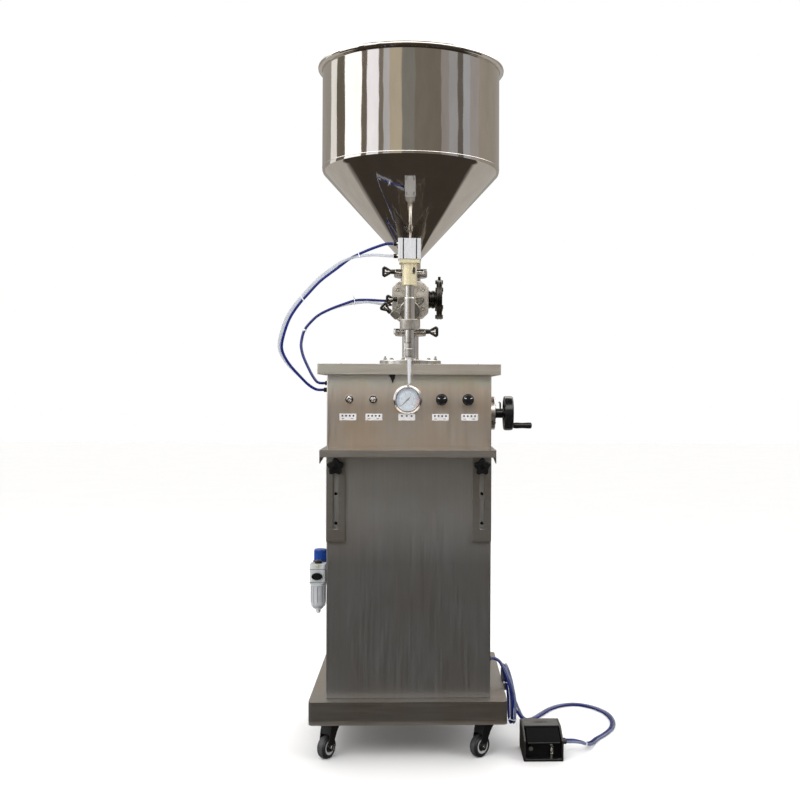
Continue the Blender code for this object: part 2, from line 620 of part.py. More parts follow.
def build_valve():
    c = VALVE_CHAMFER
    half = VALVE_HALF
    octagon = [(-half, VALVE_LOW + c), (-half + c, VALVE_LOW), (half - c, VALVE_LOW),
               (half, VALVE_LOW + c), (half, VALVE_HIGH - c), (half - c, VALVE_HIGH),
               (-half + c, VALVE_HIGH), (-half, VALVE_HIGH - c)]
    body = prism(octagon, COLUMN_Y - half, COLUMN_Y + half, "Y")
    low_face = LOWER_JOINT + JOINT_GAP
    high_face = UPPER_JOINT - JOINT_GAP
    bottom = turned([(0, low_face), *ferrule(MID_TUBE, MID_FERRULE, low_face, 1),
                     (MID_TUBE, 0.9560), (0.0225, 0.9570), (0.0225, VALVE_LOW + 0.003),
                     (0, VALVE_LOW + 0.003)],
                    (0, COLUMN_Y, 0))
    top = turned([(0, high_face), *ferrule(BIG_TUBE, BIG_FERRULE, high_face, -1),
                  (BIG_TUBE, VALVE_HIGH - 0.003), (0, VALVE_HIGH - 0.003)], (0, COLUMN_Y, 0))
    face = REAR_JOINT + JOINT_GAP
    front = turned([(0, face), *ferrule(MINI_TUBE, MINI_FERRULE, face, 1), (MINI_TUBE, 0.106), (0, 0.106)],
                   (0, 0, OUTLET_Z), "Y")
    ports = [rod((-half + 0.002, COLUMN_Y, z), (-half - PORT_LENGTH, COLUMN_Y, z), PORT_R)
             for z in VALVE_PORTS_Z]
    weld(body, bottom, top, front, *ports)
    spool_bore = rod((-half + 0.005, COLUMN_Y, VALVE_MID), (half + 0.01, COLUMN_Y, VALVE_MID), SPOOL_R, SMALL)
    low_bore = rod((0, COLUMN_Y, low_face - 0.01), (0, COLUMN_Y, VALVE_MID), CYLINDER_NECK, SMALL)
    high_bore = rod((0, COLUMN_Y, VALVE_MID), (0, COLUMN_Y, high_face + 0.01), CYLINDER_NECK, SMALL)
    out_bore = rod((0, face - 0.01, OUTLET_Z), (0, COLUMN_Y, OUTLET_Z), 0.0085, 12)
    cut(body, spool_bore, low_bore, high_bore, out_bore)
    keep(body, "valve_body", "steel_valve")

    cap_face = half + GAP
    cap = turned([(0.0066, cap_face), (0.0210, cap_face), (0.0210, CAP_DISC[0]), (CAP_R, CAP_DISC[0]),
                  (CAP_R, CAP_DISC[1]), (0, CAP_DISC[1]), (0, 0.0660), (0.0066, 0.0660)],
                 (0, COLUMN_Y, VALVE_MID), "X", ROUND)
    middle, rim = sum(CAP_DISC) / 2, VALVE_MID + CAP_R
    weld(cap, rod((middle, COLUMN_Y, rim - 0.003), (middle, COLUMN_Y, rim + 0.007), 0.0032))
    keep(cap, "valve_end_cap", "steel_dark")

    land = SPOOL_R - GAP
    spool = turned([(0, -0.0355), (land, -0.0355), (land, -0.0120), (0.0120, -0.0120), (0.0120, 0.0100),
                    (land, 0.0100), (land, 0.0260), (0.0060, 0.0260), (0.0060, 0.0460), (0, 0.0460)],
                   (0, COLUMN_Y, VALVE_MID), "X", SMALL, 0.5)
    keep(spool, "valve_spool", "steel_polished", (0, COLUMN_Y, VALVE_MID))


def build_clamp(name, ring, tube, rim, size, sides, place, nut_turned=False):
    """A hinged ferrule clamp with its swing bolt, and the wing nut on that bolt.

    In the clamp's own frame the pipe runs along z and the bolt along x, on the -y side; size scales
    the bolt side, sides is the ring's number of sides, and place carries the clamp to its joint. The
    nut's wings lie along the pipe, or across it where nut_turned is set.
    """
    lip = tube + 0.0008
    groove = rim + 0.0004
    width = 0.0080 * max(size, 0.9)
    shape = turned([(lip, -width), (ring, -width), (ring, width), (lip, width), (lip, 0.0059),
                    (groove, 0.0026), (groove, -0.0026), (lip, -0.0059)], segments=sides)
    off = -(ring + 0.0085 * size)
    inner = -(ring - 0.0025)
    half = 0.0065 * size
    depth = off - 0.0065 * size
    fork = slab((-0.038 * size, depth, -half), (-0.012 * size, inner, half))
    ear = slab((0.010 * size, depth, -half * 0.9), (0.034 * size, inner, half * 0.9))
    hinge = rod((0, ring + 0.002, -width * 0.9), (0, ring + 0.002, width * 0.9), 0.0045 * size)
    bolt = rod((-0.036 * size, off, 0), (0.058 * size, off, 0), 0.0030, 8)
    weld(shape, fork, ear, hinge, bolt)
    shape.data.transform(place)
    keep(shape, name, "steel_cast")

    start = 0.0345 * size
    outline = [(start + 0.006 * size, -0.004), (start + 0.026 * size, -0.0115 * size),
               (start + 0.029 * size, -0.0095 * size), (start + 0.029 * size, 0.0095 * size),
               (start + 0.026 * size, 0.0115 * size), (start + 0.006 * size, 0.004)]
    if nut_turned:
        wings = prism([(along, off + wide) for along, wide in outline], -0.0022, 0.0022, "Z")
    else:
        wings = prism(outline, off - 0.0022, off + 0.0022, "Y")
    hub = rod((start, off, 0), (start + 0.014 * size, off, 0), 0.0056)
    nut = weld(hub, wings)
    cut(nut, rod((start - 0.01, off, 0), (0.0595 * size, off, 0), 0.0034, 8))
    nut.data.transform(place)
    keep(nut, name + "_wing_nut", "steel_dark", place @ Vector((start, off, 0)))


def build_clamps():
    upright = Matrix.Translation((0, COLUMN_Y, 0))
    flip = Matrix.Rotation(math.pi, 4, "Y")
    build_clamp("hopper_clamp", BIG_CLAMP, BIG_TUBE, BIG_FERRULE, 1.0, ROUND,
                upright @ Matrix.Translation((0, 0, UPPER_JOINT)) @ flip)
    build_clamp("cylinder_clamp", MID_CLAMP, MID_TUBE, MID_FERRULE, 1.0, ROUND,
                upright @ Matrix.Translation((0, 0, LOWER_JOINT)))
    for name, y, turn in (("outlet_clamp_rear", REAR_JOINT, REAR_CLAMP_TURN),
                          ("outlet_clamp_front", FRONT_JOINT, FRONT_CLAMP_TURN)):
        about, tip = (math.radians(angle) for angle in turn)
        place = (Matrix.Translation((0, y, OUTLET_Z)) @ Matrix.Rotation(about, 4, "Y")
                 @ Matrix.Rotation(tip, 4, "X"))
        build_clamp(name, MINI_CLAMP, MINI_TUBE, MINI_FERRULE, 0.85, SMALL, place, nut_turned=True)


def build_outlet_and_nozzle():
    rear, front = REAR_JOINT - JOINT_GAP, FRONT_JOINT + JOINT_GAP
    wall = 0.0025
    pipe = turned([(MINI_TUBE - wall, rear), *ferrule(MINI_TUBE, MINI_FERRULE, rear, -1),
                   *reversed(ferrule(MINI_TUBE, MINI_FERRULE, front, 1)), (MINI_TUBE - wall, front)],
                  (0, 0, OUTLET_Z), "Y")
    keep(pipe, "outlet_pipe", "steel_polished")

    body = turned([(0, NOZZLE_FOOT), (0.0083, NOZZLE_FOOT), (0.0083, 0.9125), (0.0100, 0.9130),
                   (0.0100, 0.9415), (0.0205, 0.9415), (0.0205, 0.9630), (0.0115, 0.9635),
                   (0.0115, 1.0090), (0.0100, 1.0100), (0.0100, YOKE_LOW - GAP),
                   (0, YOKE_LOW - GAP)], (0, NOZZLE_Y, 0))
    face = FRONT_JOINT - JOINT_GAP
    root = NOZZLE_Y + 0.003
    arm = turned([(0, face), *ferrule(MINI_TUBE, MINI_FERRULE, face, -1), (MINI_TUBE, root), (0, root)],
                 (0, 0, OUTLET_Z), "Y")
    weld(body, arm)
    down = rod((0, NOZZLE_Y, NOZZLE_FOOT - 0.01), (0, NOZZLE_Y, YOKE_LOW + 0.01), 0.0062, 14)
    feed = rod((0, NOZZLE_Y + 0.0015, OUTLET_Z), (0, face + 0.01, OUTLET_Z), 0.0056, 12)
    keep(cut(body, down, feed), "nozzle_body", "steel_polished")

    tip = turned([(0.0017, 0.8240), (0.0027, 0.8240), (0.0045, 0.8815), (0.0085, 0.8818), (0.0095, 0.8835),
                  (0.0095, NOZZLE_FOOT - GAP), (0.0060, NOZZLE_FOOT - GAP), (0.0060, 0.8920),
                  (0.0028, 0.8860)], (0, NOZZLE_Y, 0))
    keep(tip, "nozzle_tip", "steel_polished")

    yoke = turned([(0, YOKE_LOW), (0.0157, YOKE_LOW), (0.0157, YOKE_PLATE + 0.002), (0, YOKE_PLATE + 0.002)],
                  (0, NOZZLE_Y, 0))
    half = 0.0223
    plate = slab((-half, NOZZLE_Y - half, YOKE_PLATE), (half, NOZZLE_Y + half, ACTUATOR_LOW - GAP))
    weld(yoke, plate)
    room = rod((0, NOZZLE_Y, 1.0495), (0, NOZZLE_Y, 1.0765), 0.0110, 12)
    stem = rod((0, NOZZLE_Y, YOKE_LOW - 0.01), (0, NOZZLE_Y, ACTUATOR_LOW + 0.01), 0.0036)
    window = prism([(0.0093 + u * 0.0036, 1.0667 + v * 0.0075) for u, v in
                    ((math.cos(math.tau * k / 12), math.sin(math.tau * k / 12)) for k in range(12))],
                   NOZZLE_Y - 0.02, NOZZLE_Y, "Y")
    keep(cut(yoke, room, stem, window), "nozzle_yoke", "brass")

    h = ACTUATOR_HALF
    motor = prism(rounded_rect(-h, h, NOZZLE_Y - h, NOZZLE_Y + h, 0.004, 2), ACTUATOR_LOW, ACTUATOR_HIGH)
    ports = [rod((-h + 0.002, NOZZLE_Y, z), (-h - PORT_LENGTH, NOZZLE_Y, z), PORT_R)
             for z in ACTUATOR_PORTS_Z]
    weld(motor, *ports)
    chamber = rod((0, NOZZLE_Y, NEEDLE_HEAD - 0.0015), (0, NOZZLE_Y, ACTUATOR_HIGH - 0.0040), 0.0205, SMALL)
    stem = rod((0, NOZZLE_Y, ACTUATOR_LOW - 0.01), (0, NOZZLE_Y, NEEDLE_HEAD), 0.0036)
    keep(cut(motor, chamber, stem), "nozzle_actuator", "aluminium", smooth=False)

    needle = turned([(0, 0.9040), (0.0030, 0.9060), (0.0055, 0.9120), (0.0055, 0.9160), (0.0030, 0.9180),
                     (0.0030, NEEDLE_HEAD), (0.0200, NEEDLE_HEAD), (0.0200, NEEDLE_HEAD + 0.0080),
                     (0, NEEDLE_HEAD + 0.0080)], (0, NOZZLE_Y, 0))
    keep(needle, "nozzle_needle", "steel_polished", (0, NOZZLE_Y, NEEDLE_HEAD))


# ---------------------------------------------------------------- air service unit
def build_air_unit():
    half = 0.018
    low, high, rear_high = 0.3650, 0.4150, 0.4021

    def block(y, z0, z1, reach):
        return prism(rounded_rect(FRL_X - reach, FRL_X + reach, y - reach, y + reach, 0.005, 2), z0, z1)

    body = block(FRL_FRONT_Y, low, high, half)
    rear = block(FRL_REAR_Y, low, rear_high, half)
    joiner = slab((FRL_X - 0.010, FRL_FRONT_Y, 0.382), (FRL_X + 0.010, FRL_REAR_Y, 0.402))
    foot = slab((FRL_X + 0.012, FRL_FRONT_Y - 0.010, 0.375), (-SIDE - GAP, FRL_REAR_Y + 0.010, 0.401))
    dome = rod((FRL_X, FRL_FRONT_Y, high - 0.002), (FRL_X, FRL_FRONT_Y, high + 0.008), 0.0085)
    stem = rod((FRL_X, FRL_REAR_Y, rear_high - 0.002), (FRL_X, FRL_REAR_Y, rear_high + 0.003), 0.0120)
    face = FRL_FRONT_Y - half
    gauge = rod((FRL_X - 0.001, face + 0.002, 0.388), (FRL_X - 0.001, face - 0.006, 0.388), 0.0125)
    keep(weld(body, rear, joiner, foot, dome, stem, gauge), "frl_body", "aluminium")

    top = low - GAP
    bowl = turned([(0.0150, top), (0.0176, top), (0.0176, 0.3215), (0.0120, 0.3135), (0.0055, 0.3120),
                   (0.0055, 0.3015), (0, 0.3015), (0, 0.3140), (0.0100, 0.3160), (0.0150, 0.3225)],
                  (FRL_X, FRL_FRONT_Y, 0))
    keep(bowl, "frl_bowl", "plastic_clear")

    foot_z = rear_high + 0.003 + GAP
    knob = turned([(0, foot_z), (0.0170, foot_z), (0.0172, foot_z + 0.0070), (0.0150, foot_z + 0.0095),
                   (0.0140, foot_z + 0.0325), (0.0125, foot_z + 0.0352), (0, foot_z + 0.0352)],
                  (FRL_X, FRL_REAR_Y, 0))
    keep(knob, "frl_knob", "plastic_blue", (FRL_X, FRL_REAR_Y, foot_z))


# ---------------------------------------------------------------- foot pedal
def build_pedal():
    front, back, top = -0.018, 0.090, 0.064
    housing = prism([(0.010, 0.004), (back, 0.004), (back, top - 0.006), (back - 0.005, top), (0.032, top),
                     (0.032, 0.0525), (0.021, 0.0490), (0.010, 0.0430)], PEDAL_LEFT, PEDAL_RIGHT, "X")
    sole = slab((PEDAL_LEFT, front, 0), (PEDAL_RIGHT, back, 0.005))
    cheek = [(front, 0.004), (0.036, 0.004), (0.036, top), (0.030, top), (front, 0.0435)]
    cheeks = [prism(cheek, x, x + PEDAL_WALL, "X") for x in (PEDAL_LEFT, PEDAL_RIGHT - PEDAL_WALL)]
    plunger = rod((0.3160, -0.002, 0.004), (0.3160, -0.002, 0.038), 0.004)
    ports = [rod((PEDAL_RIGHT - 0.002, y, PEDAL_PORT_Z), (PEDAL_PORT_X, y, PEDAL_PORT_Z), PORT_R)
             for y in PEDAL_PORT_YS]
    keep(weld(housing, sole, *cheeks, plunger, *ports), "pedal_housing", "painted_black", smooth=False)

    inset = PEDAL_WALL + 0.0030
    py, pz = PEDAL_PIVOT.y, PEDAL_PIVOT.z
    plate = prism([(py + 0.001, pz + 0.0034), (-0.0215, 0.0440), (-0.0215, 0.0405), (-0.0200, 0.0400),
                   (py - 0.001, pz - 0.0020)], PEDAL_LEFT + inset, PEDAL_RIGHT - inset, "X")
    end = PEDAL_WALL + 0.0005
    barrel = rod((PEDAL_LEFT + end, py, pz), (PEDAL_RIGHT - end, py, pz), 0.0036)
    keep(weld(plate, barrel), "pedal_tread", "painted_black", PEDAL_PIVOT, smooth=False)


# ---------------------------------------------------------------- air hoses
# Each route runs from the port it leaves to the port it enters.
HOSES = {
    "nozzle_hose_blue": ("hose_blue", (
        (-0.0351, -0.0430, 1.1250), (-0.0480, -0.0430, 1.1250), (-0.0700, -0.0427, 1.1185),
        (-0.0970, -0.0410, 1.1080), (-0.1269, -0.0382, 1.0939), (-0.1427, -0.0375, 1.0823),
        (-0.1578, -0.0376, 1.0706), (-0.1913, -0.0362, 1.0449), (-0.2159, -0.0341, 1.0193),
        (-0.2384, -0.0310, 0.9939), (-0.2577, -0.0238, 0.9658), (-0.2723, -0.0119, 0.9301),
        (-0.2778, -0.0035, 0.9049), (-0.2751, 0.0032, 0.8897), (-0.2633, 0.0134, 0.8674),
        (-0.2425, 0.0255, 0.8425), (-0.2219, 0.0367, 0.8210), (-0.2060, 0.0400, 0.8120),
        (-0.1906, 0.0400, 0.8115))),
    "nozzle_hose_clear": ("hose_clear", (
        (-0.0351, -0.0430, 1.0990), (-0.0480, -0.0430, 1.0990), (-0.0700, -0.0437, 1.1005),
        (-0.0970, -0.0450, 1.0990), (-0.1271, -0.0448, 1.0931), (-0.1453, -0.0425, 1.0857),
        (-0.1617, -0.0394, 1.0756), (-0.1957, -0.0362, 1.0498), (-0.2208, -0.0341, 1.0237),
        (-0.2436, -0.0310, 0.9979), (-0.2636, -0.0238, 0.9690), (-0.2785, -0.0113, 0.9324),
        (-0.2839, -0.0015, 0.9061), (-0.2804, 0.0070, 0.8893), (-0.2672, 0.0186, 0.8671),
        (-0.2450, 0.0315, 0.8435), (-0.2236, 0.0428, 0.8225), (-0.2065, 0.0480, 0.8122),
        (-0.1906, 0.0480, 0.8115))),
    "valve_hose_blue": ("hose_blue", (
        (-0.0521, 0.1435, 1.0185), (-0.0650, 0.1435, 1.0186), (-0.0979, 0.1419, 1.0201),
        (-0.1273, 0.1359, 1.0183), (-0.1496, 0.1309, 1.0107), (-0.1854, 0.1230, 0.9961),
        (-0.2110, 0.1161, 0.9816), (-0.2275, 0.1093, 0.9654), (-0.2403, 0.1036, 0.9477),
        (-0.2463, 0.0978, 0.9246), (-0.2470, 0.0931, 0.9101), (-0.2419, 0.0875, 0.8888),
        (-0.2304, 0.0818, 0.8636), (-0.2174, 0.0753, 0.8402), (-0.2070, 0.0722, 0.8280),
        (-0.1985, 0.0720, 0.8265), (-0.1906, 0.0720, 0.8265))),
    "valve_hose_clear": ("hose_clear", (
        (-0.0521, 0.1435, 1.0105), (-0.0650, 0.1435, 1.0106), (-0.0971, 0.1381, 1.0148),
        (-0.1267, 0.1381, 1.0122), (-0.1499, 0.1371, 1.0083), (-0.1866, 0.1295, 0.9954),
        (-0.2123, 0.1224, 0.9806), (-0.2287, 0.1157, 0.9641), (-0.2409, 0.1099, 0.9463),
        (-0.2465, 0.1042, 0.9229), (-0.2467, 0.0994, 0.9084), (-0.2413, 0.0940, 0.8875),
        (-0.2298, 0.0882, 0.8624), (-0.2166, 0.0817, 0.8388), (-0.2070, 0.0802, 0.8280),
        (-0.1985, 0.0800, 0.8265), (-0.1906, 0.0800, 0.8265))),
    "pedal_hose_blue": ("hose_blue", (
        (0.1914, 0.1300, 0.1900), (0.1995, 0.1296, 0.1887), (0.2080, 0.1291, 0.1840),
        (0.2154, 0.1248, 0.1725), (0.2238, 0.1157, 0.1540), (0.2319, 0.1069, 0.1300),
        (0.2368, 0.1000, 0.1030), (0.2373, 0.0980, 0.0780), (0.2363, 0.1052, 0.0512),
        (0.2343, 0.1225, 0.0440), (0.2328, 0.1398, 0.0512), (0.2318, 0.1468, 0.0740),
        (0.2308, 0.1470, 0.1000), (0.2278, 0.1465, 0.1230), (0.2233, 0.1470, 0.1420),
        (0.2206, 0.1540, 0.1580), (0.2206, 0.1705, 0.1645), (0.2238, 0.1870, 0.1580),
        (0.2303, 0.1945, 0.1420), (0.2368, 0.1955, 0.1200), (0.2408, 0.1955, 0.1000),
        (0.2444, 0.1992, 0.0799), (0.2493, 0.2033, 0.0603), (0.2600, 0.2134, 0.0378),
        (0.2740, 0.2317, 0.0176), (0.2894, 0.2509, 0.0074), (0.3078, 0.2776, 0.0040),
        (0.3330, 0.3180, 0.0036), (0.3600, 0.3600, 0.0036), (0.3900, 0.3860, 0.0036),
        (0.4240, 0.3940, 0.0036), (0.4600, 0.3720, 0.0036), (0.4870, 0.3230, 0.0036),
        (0.4930, 0.2620, 0.0036), (0.4820, 0.2050, 0.0036), (0.4570, 0.1580, 0.0036),
        (0.4330, 0.1250, 0.0036), (0.4170, 0.0950, 0.0050), (0.4020, 0.0680, 0.0120),
        (0.3870, 0.0480, 0.0220), (0.3700, 0.0370, 0.0292), (0.3521, 0.0360, 0.0300))),
    "pedal_hose_clear": ("hose_clear", (
        (0.1914, 0.1375, 0.1900), (0.1995, 0.1371, 0.1887), (0.2080, 0.1359, 0.1840),
        (0.2176, 0.1312, 0.1725), (0.2286, 0.1203, 0.1540), (0.2381, 0.1091, 0.1300),
        (0.2432, 0.1000, 0.1030), (0.2437, 0.0980, 0.0780), (0.2427, 0.1052, 0.0512),
        (0.2407, 0.1225, 0.0440), (0.2392, 0.1398, 0.0512), (0.2382, 0.1468, 0.0740),
        (0.2372, 0.1470, 0.1000), (0.2342, 0.1465, 0.1230), (0.2297, 0.1470, 0.1420),
        (0.2270, 0.1540, 0.1580), (0.2270, 0.1705, 0.1645), (0.2302, 0.1870, 0.1580),
        (0.2367, 0.1945, 0.1420), (0.2432, 0.1955, 0.1200), (0.2472, 0.1955, 0.1000),
        (0.2496, 0.1948, 0.0801), (0.2557, 0.2027, 0.0625), (0.2640, 0.2166, 0.0422),
        (0.2730, 0.2363, 0.0224), (0.2846, 0.2551, 0.0096), (0.3022, 0.2814, 0.0040),
        (0.3270, 0.3218, 0.0036), (0.3548, 0.3645, 0.0036), (0.3870, 0.3925, 0.0036),
        (0.4250, 0.4008, 0.0036), (0.4646, 0.3768, 0.0036), (0.4935, 0.3247, 0.0036),
        (0.4997, 0.2613, 0.0036), (0.4883, 0.2023, 0.0036), (0.4628, 0.1542, 0.0036),
        (0.4392, 0.1205, 0.0036), (0.4232, 0.0888, 0.0050), (0.4085, 0.0590, 0.0120),
        (0.3925, 0.0360, 0.0220), (0.3720, 0.0232, 0.0292), (0.3521, 0.0220, 0.0300))),
}


def smooth_route(points, step):
    """Points at an even step along the centripetal Catmull-Rom curve through a route."""
    route = [Vector(p) for p in points]
    route = [2 * route[0] - route[1]] + route + [2 * route[-1] - route[-2]]
    dense = []
    for p0, p1, p2, p3 in zip(route, route[1:], route[2:], route[3:]):
        t1 = (p1 - p0).length ** 0.5
        t2 = t1 + (p2 - p1).length ** 0.5
        t3 = t2 + (p3 - p2).length ** 0.5
        for k in range(16):
            t = t1 + (t2 - t1) * k / 16
            a1 = p0.lerp(p1, t / t1)
            a2 = p1.lerp(p2, (t - t1) / (t2 - t1))
            a3 = p2.lerp(p3, (t - t2) / (t3 - t2))
            b1 = a1.lerp(a2, t / t2)
            b2 = a2.lerp(a3, (t - t1) / (t3 - t1))
            dense.append(b1.lerp(b2, (t - t1) / (t2 - t1)))
    dense.append(route[-2])
    lengths = [0.0]
    for a, b in zip(dense, dense[1:]):
        lengths.append(lengths[-1] + (b - a).length)
    count = max(2, round(lengths[-1] / step))
    even, k = [], 0
    for n in range(count):
        goal = lengths[-1] * n / count
        while lengths[k + 1] < goal:
            k += 1
        even.append(dense[k].lerp(dense[k + 1], (goal - lengths[k]) / (lengths[k + 1] - lengths[k])))
    return even + [dense[-1]]


def build_hoses():
    for name, (finish_name, points) in HOSES.items():
        curve = bpy.data.curves.new(name, "CURVE")
        curve.dimensions = "3D"
        curve.bevel_depth = HOSE_R
        curve.bevel_resolution = 2
        curve.use_fill_caps = True
        route = smooth_route(points, HOSE_STEP)
        spline = curve.splines.new("POLY")
        spline.points.add(len(route) - 1)
        for point, place in zip(spline.points, route):
            point.co = (*place, 1.0)
        curve.materials.append(finish(finish_name))
        hose = bpy.data.objects.new(name, curve)
        bpy.context.scene.collection.objects.link(hose)
        NODES.append(hose)


# ---------------------------------------------------------------- assembly
def build():
    clear_scene()
    build_base()
    build_casters()
    build_cabinet()
    build_control_box()
    build_cover()
    build_shelf()
    build_shelf_knobs()
    build_panel()
    build_stroke_drive()
    build_cylinders()
    build_hopper()
    build_valve()
    build_clamps()
    build_outlet_and_nozzle()
    build_air_unit()
    build_pedal()
    build_hoses()
    frame = bpy.data.objects.new("machine_frame", None)
    bpy.context.scene.collection.objects.link(frame)
    frame.location = -MIDDLE
    for obj in NODES:
        obj.parent = frame


build()
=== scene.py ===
"""Looks of the piston liquid filler, built over its CAD frame.

Sizes are in metres in the machine's own frame: x = 0 is the plane through the hopper and the nozzle,
y = 0 the cabinet's front sheet, z = 0 the floor. Piece.done() moves a finished piece to the frame's origin.
Outlines inside mm() are in millimetres.
"""

import math

import bmesh
import bpy
from mathutils import Matrix, Vector


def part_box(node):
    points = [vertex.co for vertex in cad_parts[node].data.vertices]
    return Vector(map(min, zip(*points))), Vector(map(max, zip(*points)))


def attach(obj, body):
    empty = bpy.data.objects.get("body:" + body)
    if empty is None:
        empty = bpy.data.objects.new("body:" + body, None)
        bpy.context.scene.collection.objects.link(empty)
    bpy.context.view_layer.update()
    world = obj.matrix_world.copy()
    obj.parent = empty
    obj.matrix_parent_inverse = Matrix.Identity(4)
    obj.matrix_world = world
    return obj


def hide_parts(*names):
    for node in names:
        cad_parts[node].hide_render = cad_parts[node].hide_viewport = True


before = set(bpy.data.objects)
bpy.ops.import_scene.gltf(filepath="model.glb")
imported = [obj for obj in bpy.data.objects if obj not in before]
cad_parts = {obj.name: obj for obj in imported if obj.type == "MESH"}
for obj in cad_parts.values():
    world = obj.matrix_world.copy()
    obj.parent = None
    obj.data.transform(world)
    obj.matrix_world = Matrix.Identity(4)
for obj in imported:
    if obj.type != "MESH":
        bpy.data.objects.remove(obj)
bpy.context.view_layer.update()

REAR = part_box("rear_panel")
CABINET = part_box("cabinet_shell")
ORIGIN = Vector(((REAR[0].x + REAR[1].x) / 2, CABINET[0].y, 0.0))


def low_corner(node):
    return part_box(node)[0] - ORIGIN


def high_corner(node):
    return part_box(node)[1] - ORIGIN


SIDE = high_corner("top_cover").x - 0.0195
COVER_TOP = high_corner("top_cover").z
COLUMN_Y = (low_corner("hopper").y + high_corner("hopper").y) / 2
COLUMN = (0, COLUMN_Y, 0)
HOPPER_RIM = high_corner("hopper").z
NOZZLE_Y = (low_corner("nozzle_tip").y + high_corner("nozzle_tip").y) / 2
NOZZLE = (0, NOZZLE_Y, 0)
PANEL_Z = 0.791
TOGGLE_XS = (-0.131, -0.079)
GAUGE_X = -0.0035
SPEED_KNOB_XS = (0.0706, 0.1288)
WHEEL_Y, WHEEL_Z = 0.08, 0.76
CRANK_R = 0.0277
OUTLET_Z = 0.986
OUTLET = (0, 0, OUTLET_Z)
UPPER_JOINT, LOWER_JOINT = 1.0805, 0.945
VALVE_MID = 1.022
REAR_JOINT, FRONT_JOINT = 0.078, 0.022
FRL_X, FRL_FRONT_Y, FRL_REAR_Y = -0.208, 0.11, 0.16
HOSE_D = 0.006

# Radii of the product pipes: the main bore, then each pipe's outside and its clamped flange.
MAIN_BORE = 0.0174
HOPPER_TUBE, HOPPER_FLANGE = 0.023, 0.032
CYLINDER_TUBE, CYLINDER_FLANGE = 0.019, 0.02525
OUTLET_TUBE, OUTLET_FLANGE = 0.011, 0.017
# Half of the gap that shows in each clamped joint.
HALF_GAP = 0.0002

# The photo's viewpoint in the machine's frame, with the sideways shift that centres the machine.
CAMERA_PLACE = (0.0308, -2.352, 0.8113)
CAMERA_TURN = (math.pi / 2 - 0.0089, -0.004, -0.034)
CAMERA_LENS = 48.32
CAMERA_SHIFT = -0.075


# ---------------------------------------------------------------- camera and studio
def make_camera():
    data = bpy.data.cameras.new("camera")
    data.lens = CAMERA_LENS
    data.sensor_width = 36.0
    data.shift_x = CAMERA_SHIFT
    data.clip_end = 60.0
    camera = bpy.data.objects.new("camera", data)
    bpy.context.scene.collection.objects.link(camera)
    camera.location = Vector(CAMERA_PLACE) + ORIGIN
    camera.rotation_euler = CAMERA_TURN
    bpy.context.scene.camera = camera
    bpy.context.scene.view_settings.view_transform = "Standard"


# ---------------------------------------------------------------- materials
class Graph:
    """A node tree with short calls; an input is a value or another node's output."""

    def __init__(self, tree):
        self.tree = tree

    def node(self, kind, inputs=(), **settings):
        made = self.tree.nodes.new("ShaderNode" + kind)
        for name, value in settings.items():
            setattr(made, name, value)
        for socket, value in dict(inputs).items():
            self.feed(made.inputs[socket], value)
        return made

    def feed(self, socket, value):
        if isinstance(value, bpy.types.NodeSocket):
            self.tree.links.new(value, socket)
        else:
            socket.default_value = value

    def vector(self, operation, *values):
        made = self.node("VectorMath", dict(enumerate(values)), operation=operation)
        return made.outputs["Vector"]

    def remap(self, source, low, high, from_low=0.3, from_high=0.7):
        made = self.node("MapRange", {"From Min": from_low, "From Max": from_high, "To Min": low,
            "To Max": high, "Value": source})
        return made.outputs["Result"]

    def blend(self, factor, first, second):
        """A colour between first and second."""
        colours = [c if isinstance(c, bpy.types.NodeSocket) else (*c, 1.0) for c in (first, second)]
        made = self.node("Mix", data_type="RGBA")
        for socket, value in zip(("Factor", "A", "B"), (factor, *colours)):
            self.feed(made.inputs[socket], value)
        return made.outputs["Result"]

    def by_ray(self, rays, kind, plain, special):
        """The special shader for one kind of ray and the plain one for the rest."""
        return self.node("MixShader", {"Fac": rays.outputs[kind], 1: plain, 2: special}).outputs["Shader"]


class Shader(Graph):
    """A Principled material with short calls for what feeds it."""

    def __init__(self, name, colour, roughness, metallic=0.0):
        self.material = bpy.data.materials.new(name)
        self.material.use_nodes = True
        super().__init__(self.material.node_tree)
        self.main = self.tree.nodes["Principled BSDF"]
        self.place = self.node("TexCoord").outputs["Object"]
        self.set("Base Color", (*colour, 1.0))
        self.set("Roughness", roughness)
        self.set("Metallic", metallic)

    def set(self, socket, value):
        self.feed(self.main.inputs[socket], value)

    def noise(self, scale, stretch=(1, 1, 1), detail=4.0, roughness=0.55):
        """Noise in object coordinates, squeezed along each axis by stretch."""
        mapping = self.node("Mapping", {"Scale": tuple(scale * s for s in stretch), "Vector": self.place})
        return self.cloud(mapping.outputs["Vector"], 1.0, detail, roughness)

    def cloud(self, vector, scale, detail, roughness):
        made = self.node("TexNoise", {"Scale": scale, "Detail": detail, "Roughness": roughness,
            "Vector": vector})
        return made.outputs["Fac"]

    def along(self, axis):
        return self.node("SeparateXYZ", {"Vector": self.place}).outputs[axis]

    def times(self, first, second):
        return self.node("Math", {0: first, 1: second}, operation="MULTIPLY").outputs["Value"]

    def tint(self, colour, factor):
        """Base colour times a factor that varies over the surface."""
        made = self.node("VectorMath", {0: colour, "Scale": factor}, operation="SCALE")
        self.set("Base Color", made.outputs["Vector"])

    def rough(self, source, low, high):
        self.set("Roughness", self.remap(source, low, high))

    def bump(self, source, strength, distance=0.0003):
        made = self.node("Bump", {"Strength": strength, "Distance": distance, "Height": source})
        self.set("Normal", made.outputs["Normal"])


GRAIN = {"X": (0.012, 1, 1), "Y": (1, 0.012, 1), "Z": (1, 1, 0.012)}


